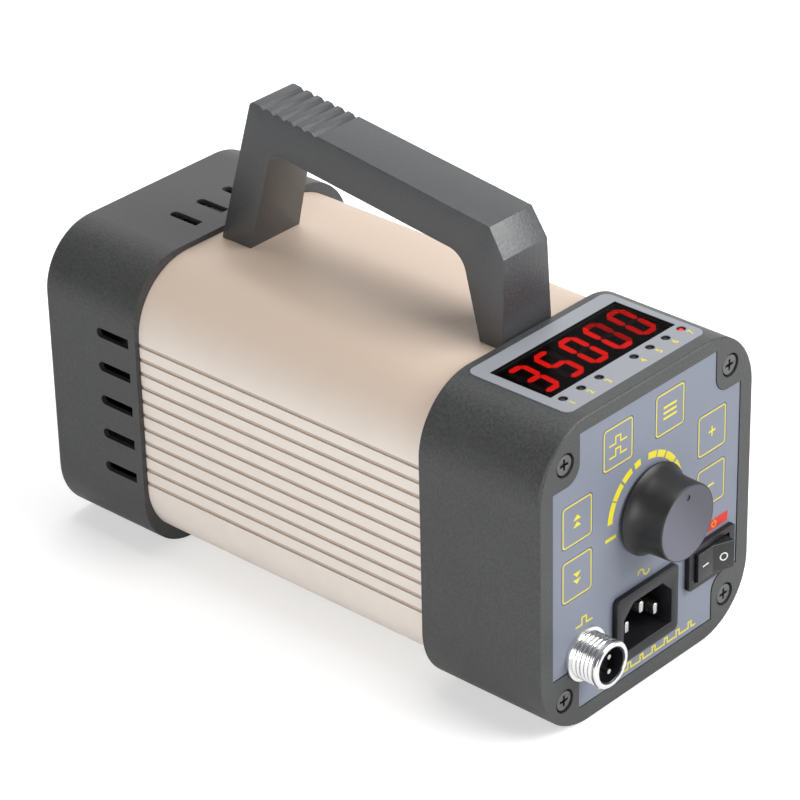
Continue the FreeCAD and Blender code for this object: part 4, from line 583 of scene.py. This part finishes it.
def lettered(work, text, height, centre):
    """A plain sign from the built-in face, centred at a place. It is drawn a little bolder than the face."""
    curve = bpy.data.curves.new("sign", "FONT")
    curve.body = text
    curve.align_x = "CENTER"
    curve.align_y = "CENTER"
    curve.size = height / FIGURE_SHARE
    curve.offset = height * BOLDER
    holder = bpy.data.objects.new("sign", curve)
    mesh = bpy.data.meshes.new_from_object(holder)
    mesh.transform(Matrix.Translation((*centre, 0.0)))
    work.from_mesh(mesh)
    bpy.data.objects.remove(holder)
    bpy.data.curves.remove(curve)
    bpy.data.meshes.remove(mesh)


NUMBER_HEIGHT, NUMBER_DROP, NUMBER_LAYER = 2.3, 2.3 * MM, 0.03
LAMP_PLACES = (-26.0, -17.6, -9.2, 7.2, 14.8, 22.4, 30.0)
numbers = bmesh.new()
for count, x in enumerate(LAMP_PLACES, start=1):
    lettered(numbers, str(count), NUMBER_HEIGHT, (x, 0.0))
on_label = flat_on_top(0.0, lamp_low.y - NUMBER_DROP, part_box("display_label")[1].z)
inked("lamp_numbers", numbers, on_label, "housing", "label_print", yellow_ink, NUMBER_LAYER)


# Knob
# A black moulded knob with a flared skirt, pressed onto the shaft, and a grey turned face let into its
# front. A small dimple in the face marks where it points.
def spun(outline, steps):
    """A closed turned shape from its half outline of radius and height in millimetres."""
    work = bmesh.new()
    points = [work.verts.new((radius, 0.0, height)) for radius, height in outline]
    edges = [work.edges.new(pair) for pair in zip(points, points[1:] + points[:1])]
    bmesh.ops.spin(work, geom=points + edges, cent=(0, 0, 0), axis=(0, 0, 1), angle=2 * math.pi, steps=steps,
                   use_merge=True)
    bmesh.ops.remove_doubles(work, verts=work.verts, dist=JOINED)
    bmesh.ops.recalc_face_normals(work, faces=work.faces)
    return work


def bend(centre, radius, start, end, steps):
    """Points on an arc between two angles in degrees."""
    turns = [math.radians(start + (end - start) * step / steps) for step in range(steps + 1)]
    return [(centre[0] + radius * math.cos(turn), centre[1] + radius * math.sin(turn)) for turn in turns]


HUB_BORE, HUB_RADIUS, HUB_BACK, FRONT_WALL, HOLLOW_FRONT, HOLLOW_BACK = 3.05, 5.2, 0.9, 2.4, 11.0, 11.5
SKIRT_EDGE, SKIRT_WALL, SEAT_GAP, SEAT_DEPTH = 0.4, 0.7, 0.05, 0.7
KNOB_FACE, KNOB_EDGE, FLARE, FLARE_END, FLARE_STEPS, CROWDING = 12.75, 0.4, 2.4, 9.0, 12, 1.5
knob_low, knob_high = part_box("knob")
inlay_low, inlay_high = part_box("knob_inlay")
knob_axis = Vector(((knob_low.x + knob_high.x) / 2, knob_high.y, (knob_low.z + knob_high.z) / 2))
knob_length = (knob_high.y - knob_low.y) / MM
skirt = (knob_high.x - knob_low.x) / 2 / MM
inlay_radius = (inlay_high.x - inlay_low.x) / 2 / MM
flare = [(KNOB_FACE + (skirt - KNOB_FACE) * math.exp(-height / FLARE), SKIRT_WALL + height)
         for height in (FLARE_END * step ** CROWDING / FLARE_STEPS ** CROWDING
                        for step in range(FLARE_STEPS + 1))]
knob_outline = [
    (HUB_BORE, HUB_BACK), (HUB_RADIUS, HUB_BACK), (HUB_RADIUS, knob_length - FRONT_WALL),
    (HOLLOW_FRONT, knob_length - FRONT_WALL), (HOLLOW_BACK, 0.0),
    *bend((skirt - SKIRT_EDGE, SKIRT_EDGE), SKIRT_EDGE, -90, 0, 4), *flare,
    *bend((KNOB_FACE - KNOB_EDGE, knob_length - KNOB_EDGE), KNOB_EDGE, 0, 90, 6),
    (inlay_radius + SEAT_GAP, knob_length), (inlay_radius + SEAT_GAP, knob_length - SEAT_DEPTH),
    (HUB_BORE, knob_length - SEAT_DEPTH),
]
knob_black = moulded("knob_plastic", (0.013, 0.013, 0.013), 0.4, grain=0.3 * MM, depth=0.01 * MM)
knob_work = spun(knob_outline, 128)
bmesh.ops.transform(knob_work, matrix=on_panel(knob_axis.x, knob_axis.z, knob_axis.y), verts=knob_work.verts)
piece("knob_grip", knob_work, "speed_knob", "knob_plastic", knob_black, "knob")

# The turned face has rings about its middle, and a broad painted sheen, lighter towards the lower left, runs
# across its colour.
RINGS_PER_METRE, PAINTED_SHEEN_LEAN = 4200.0, 0.8
inlay_grey = Finish("knob_face", (0.122, 0.124, 0.155), 0.36, Metallic=0.6)
across = inlay_grey.axis("X") - knob_axis.x
upward = inlay_grey.axis("Z") - knob_axis.z
ring = inlay_grey.add("Math", {"operation": "SQRT"}, {0: across * across + upward * upward})
lines = inlay_grey.add("TexNoise", {"noise_dimensions": "1D"}, {"W": ring * RINGS_PER_METRE, "Detail": 3.0})
# Painted sheen: the face's colour is lighter towards the lower left and darker towards the upper right.
painted_sheen = inlay_grey.add("MapRange", {"interpolation_type": "SMOOTHSTEP"}, {
    "Value": across + PAINTED_SHEEN_LEAN * upward, "From Min": -inlay_radius * MM, "From Max": inlay_radius * MM,
    "To Min": 1.0, "To Max": 0.0})
inlay_grey.feed(Roughness=0.30 + 0.18 * lines, Base_Color=inlay_grey.shades(0.32, 0.2 * lines + 0.8 * painted_sheen))
inlay_grey.emboss(lines, depth=0.004 * MM)
dress(inlay_grey, "knob_inlay")


# Mains inlet
# A black moulded inlet with a chamfered socket, snapped into the panel. Three flat pins stand deep in
# it, nickel plated and with rounded edges.
socket_black = moulded("socket_plastic", (0.009, 0.009, 0.012), 0.4, grain=0.5 * MM, depth=0.012 * MM,
                       gloss=0.4)
piece("inlet_shell", rounded("inlet_housing", width=0.35 * MM), "housing", "black_plastic", socket_black,
      "inlet_housing")
nickel = Finish("nickel_plate", (0.56, 0.55, 0.53), 0.25, Metallic=1.0)
nickel.feed(Roughness=0.2 + 0.12 * nickel.noise(1.5 * MM, 4.0),
            Base_Color=nickel.shades(0.06, nickel.noise(3 * MM)))
piece("inlet_blades", rounded("inlet_pins", width=0.55 * MM), "housing", "nickel", nickel, "inlet_pins")


# Rocker switch
# A black bezel snapped into the panel, with a see-saw rocker in glossier plastic. A white bar marks one
# side of the rocker and a white ring the other, and both tip with it.
piece("switch_bezel", rounded("switch_housing", width=0.35 * MM), "housing", "black_plastic", socket_black,
      "switch_housing")
rocker_black = moulded("rocker_plastic", (0.014, 0.014, 0.016), 0.3, grain=0.6 * MM, depth=0.006 * MM)
piece("rocker_key", rounded("rocker", width=0.4 * MM), "switch_rocker", "gloss_black", rocker_black,
      "rocker")
REST_TILT = math.radians(-10.0)
FACE_LENGTH, END_RISE, MIDDLE_RISE, PIVOT_DEPTH, CLEAR_OF_FACE = 7.6, 2.6, 0.9, 3.0, 0.02
RING_INNER, RING_OUTER, ROCKER_BAR = 1.05, 1.5, (-1.5, -0.25, 1.5, 0.25)
white_ink = printed("white_ink", (0.75, 0.75, 0.73), 0.5)
pivot = Vector(next(joint["pos_m"] for joint in frame["joints"] if joint["name"] == "rocker_tilt"))
face_slope = math.atan2(END_RISE - MIDDLE_RISE, FACE_LENGTH)
middle_rise = (END_RISE + MIDDLE_RISE) / 2 + CLEAR_OF_FACE
for name, side in (("rocker_bar", -1), ("rocker_ring", 1)):
    drawing = bmesh.new()
    if side < 0:
        patch(drawing, *ROCKER_BAR)
    else:
        arc(drawing, (0.0, 0.0), RING_INNER, RING_OUTER, start=0, end=360, steps=32)
    lay = (Matrix.Translation(pivot) @ Matrix.Rotation(REST_TILT, 4, "Z") @ on_panel(0, 0, 0)
           @ Matrix.Translation((side * FACE_LENGTH / 2, 0.0, PIVOT_DEPTH + middle_rise))
           @ Matrix.Rotation(-side * face_slope, 4, "Y"))
    inked(name, drawing, lay, "switch_rocker", "gloss_black", white_ink)


# Trigger connector
# A chromed threaded shell, clamped by a nut behind the panel. Its mouth has a black lining, and a black
# insert in it holds two pins.
LINER_OUTER, LINER_INNER, LINER_SINK = 6.15, 5.75, 0.5
chrome = Finish("chrome_plate", (0.86, 0.86, 0.86), 0.22, Metallic=1.0)
chrome.feed(Roughness=0.18 + 0.08 * chrome.noise(2 * MM, 4.0))
piece("trigger_sleeve", rounded("trigger_shell", width=0.12 * MM, segments=2), "housing", "nickel", chrome,
      "trigger_shell")
shell_low, shell_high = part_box("trigger_shell")
trigger_axis = (shell_low + shell_high) / 2
liner_depth = (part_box("trigger_insert")[0].y - shell_low.y) / MM
liner = spun([(LINER_INNER, -liner_depth), (LINER_OUTER, -liner_depth), (LINER_OUTER, -LINER_SINK),
              (LINER_INNER, -LINER_SINK)], 64)
bmesh.ops.transform(liner, matrix=on_panel(trigger_axis.x, trigger_axis.z, shell_low.y), verts=liner.verts)
piece("trigger_liner", liner, "housing", "black_plastic", socket_black)
dress(socket_black, "trigger_insert")
dress(nickel, "trigger_pins", "trigger_nut")


# Lamp end
# A clear window over a bright spun reflector. In its middle a bent xenon tube stands on a white base,
# with the ignition wire laid along the glass. A steel ring clamps the window and the bowl to the cap.
clear = Finish("clear_window", (0.97, 0.98, 0.98), 0.03, Transmission_Weight=1.0, IOR=1.5)
clear.feed(Roughness=0.02 + 0.02 * clear.noise(15 * MM))
dress(clear, "lens_window")
bowl = Finish("bowl_mirror", (0.88, 0.88, 0.88), 0.12, Metallic=1.0)
bowl.feed(Roughness=0.08 + 0.1 * bowl.noise(3 * MM))
bowl.emboss(bowl.noise(2.5 * MM), depth=0.05 * MM)
dress(bowl, "reflector")
glass = Finish("tube_glass", (0.96, 0.98, 1.0), 0.02, Transmission_Weight=1.0, IOR=1.47)
glass.feed(Roughness=0.01 + 0.03 * glass.noise(4 * MM))
dress(glass, "xenon_tube", "fuse")
porcelain = moulded("lamp_base", (0.72, 0.70, 0.65), 0.35, grain=0.8 * MM, depth=0.008 * MM)
dress(porcelain, "lamp_base")
dress(nickel, "lamp_leads", "trigger_wire")
steel = Finish("zinc_steel", (0.56, 0.57, 0.58), 0.34, Metallic=1.0)
steel.feed(Roughness=0.28 + 0.16 * steel.noise(1.2 * MM, 3.0, stretch=(1.0, 0.15, 1.0)))
dress(steel, "retainer_ring", "retainer_screws", "handle_screws", "display_screws", "key_board_screws",
      "pot_shaft", "pot_body", "pot_nut", "switch_terminals", "tripod_nut")


# Boards and what they carry
# Green circuit boards, the key switches, header and trigger transformer in black, and the power parts:
# a dark grey transformer, two capacitors in dark blue sleeves, and the fuse in nickel-plated clips.
board_green = Finish("board_green", (0.02, 0.11, 0.05), 0.32)
board_green.feed(Base_Color=board_green.shades(0.35, board_green.noise(2.2 * MM, 1.0)),
                 Roughness=0.28 + 0.15 * board_green.noise(1.5 * MM))
dress(board_green, "main_board", "display_board", "key_board")
dress(socket_black, "tact_switches", "board_connector", "trigger_transformer")
iron = moulded("core_iron", (0.11, 0.10, 0.095), 0.45, grain=0.5 * MM, depth=0.03 * MM)
dress(iron, "mains_transformer")
sleeve = moulded("capacitor_sleeve", (0.02, 0.03, 0.12), 0.28, grain=1.5 * MM, depth=0.01 * MM)
dress(sleeve, "storage_capacitors")
dress(nickel, "fuse_clips")


# Tripod bush
# A turned brass bush with a plain flange, under the middle of the tube. A nut inside the tube holds it,
# and it takes the screw of a stand.
brass = Finish("turned_brass", (0.66, 0.48, 0.22), 0.28, Metallic=1.0)
brass.feed(Roughness=0.22 + 0.14 * brass.noise(1.0 * MM, 3.0))
dress(brass, "tripod_bush")
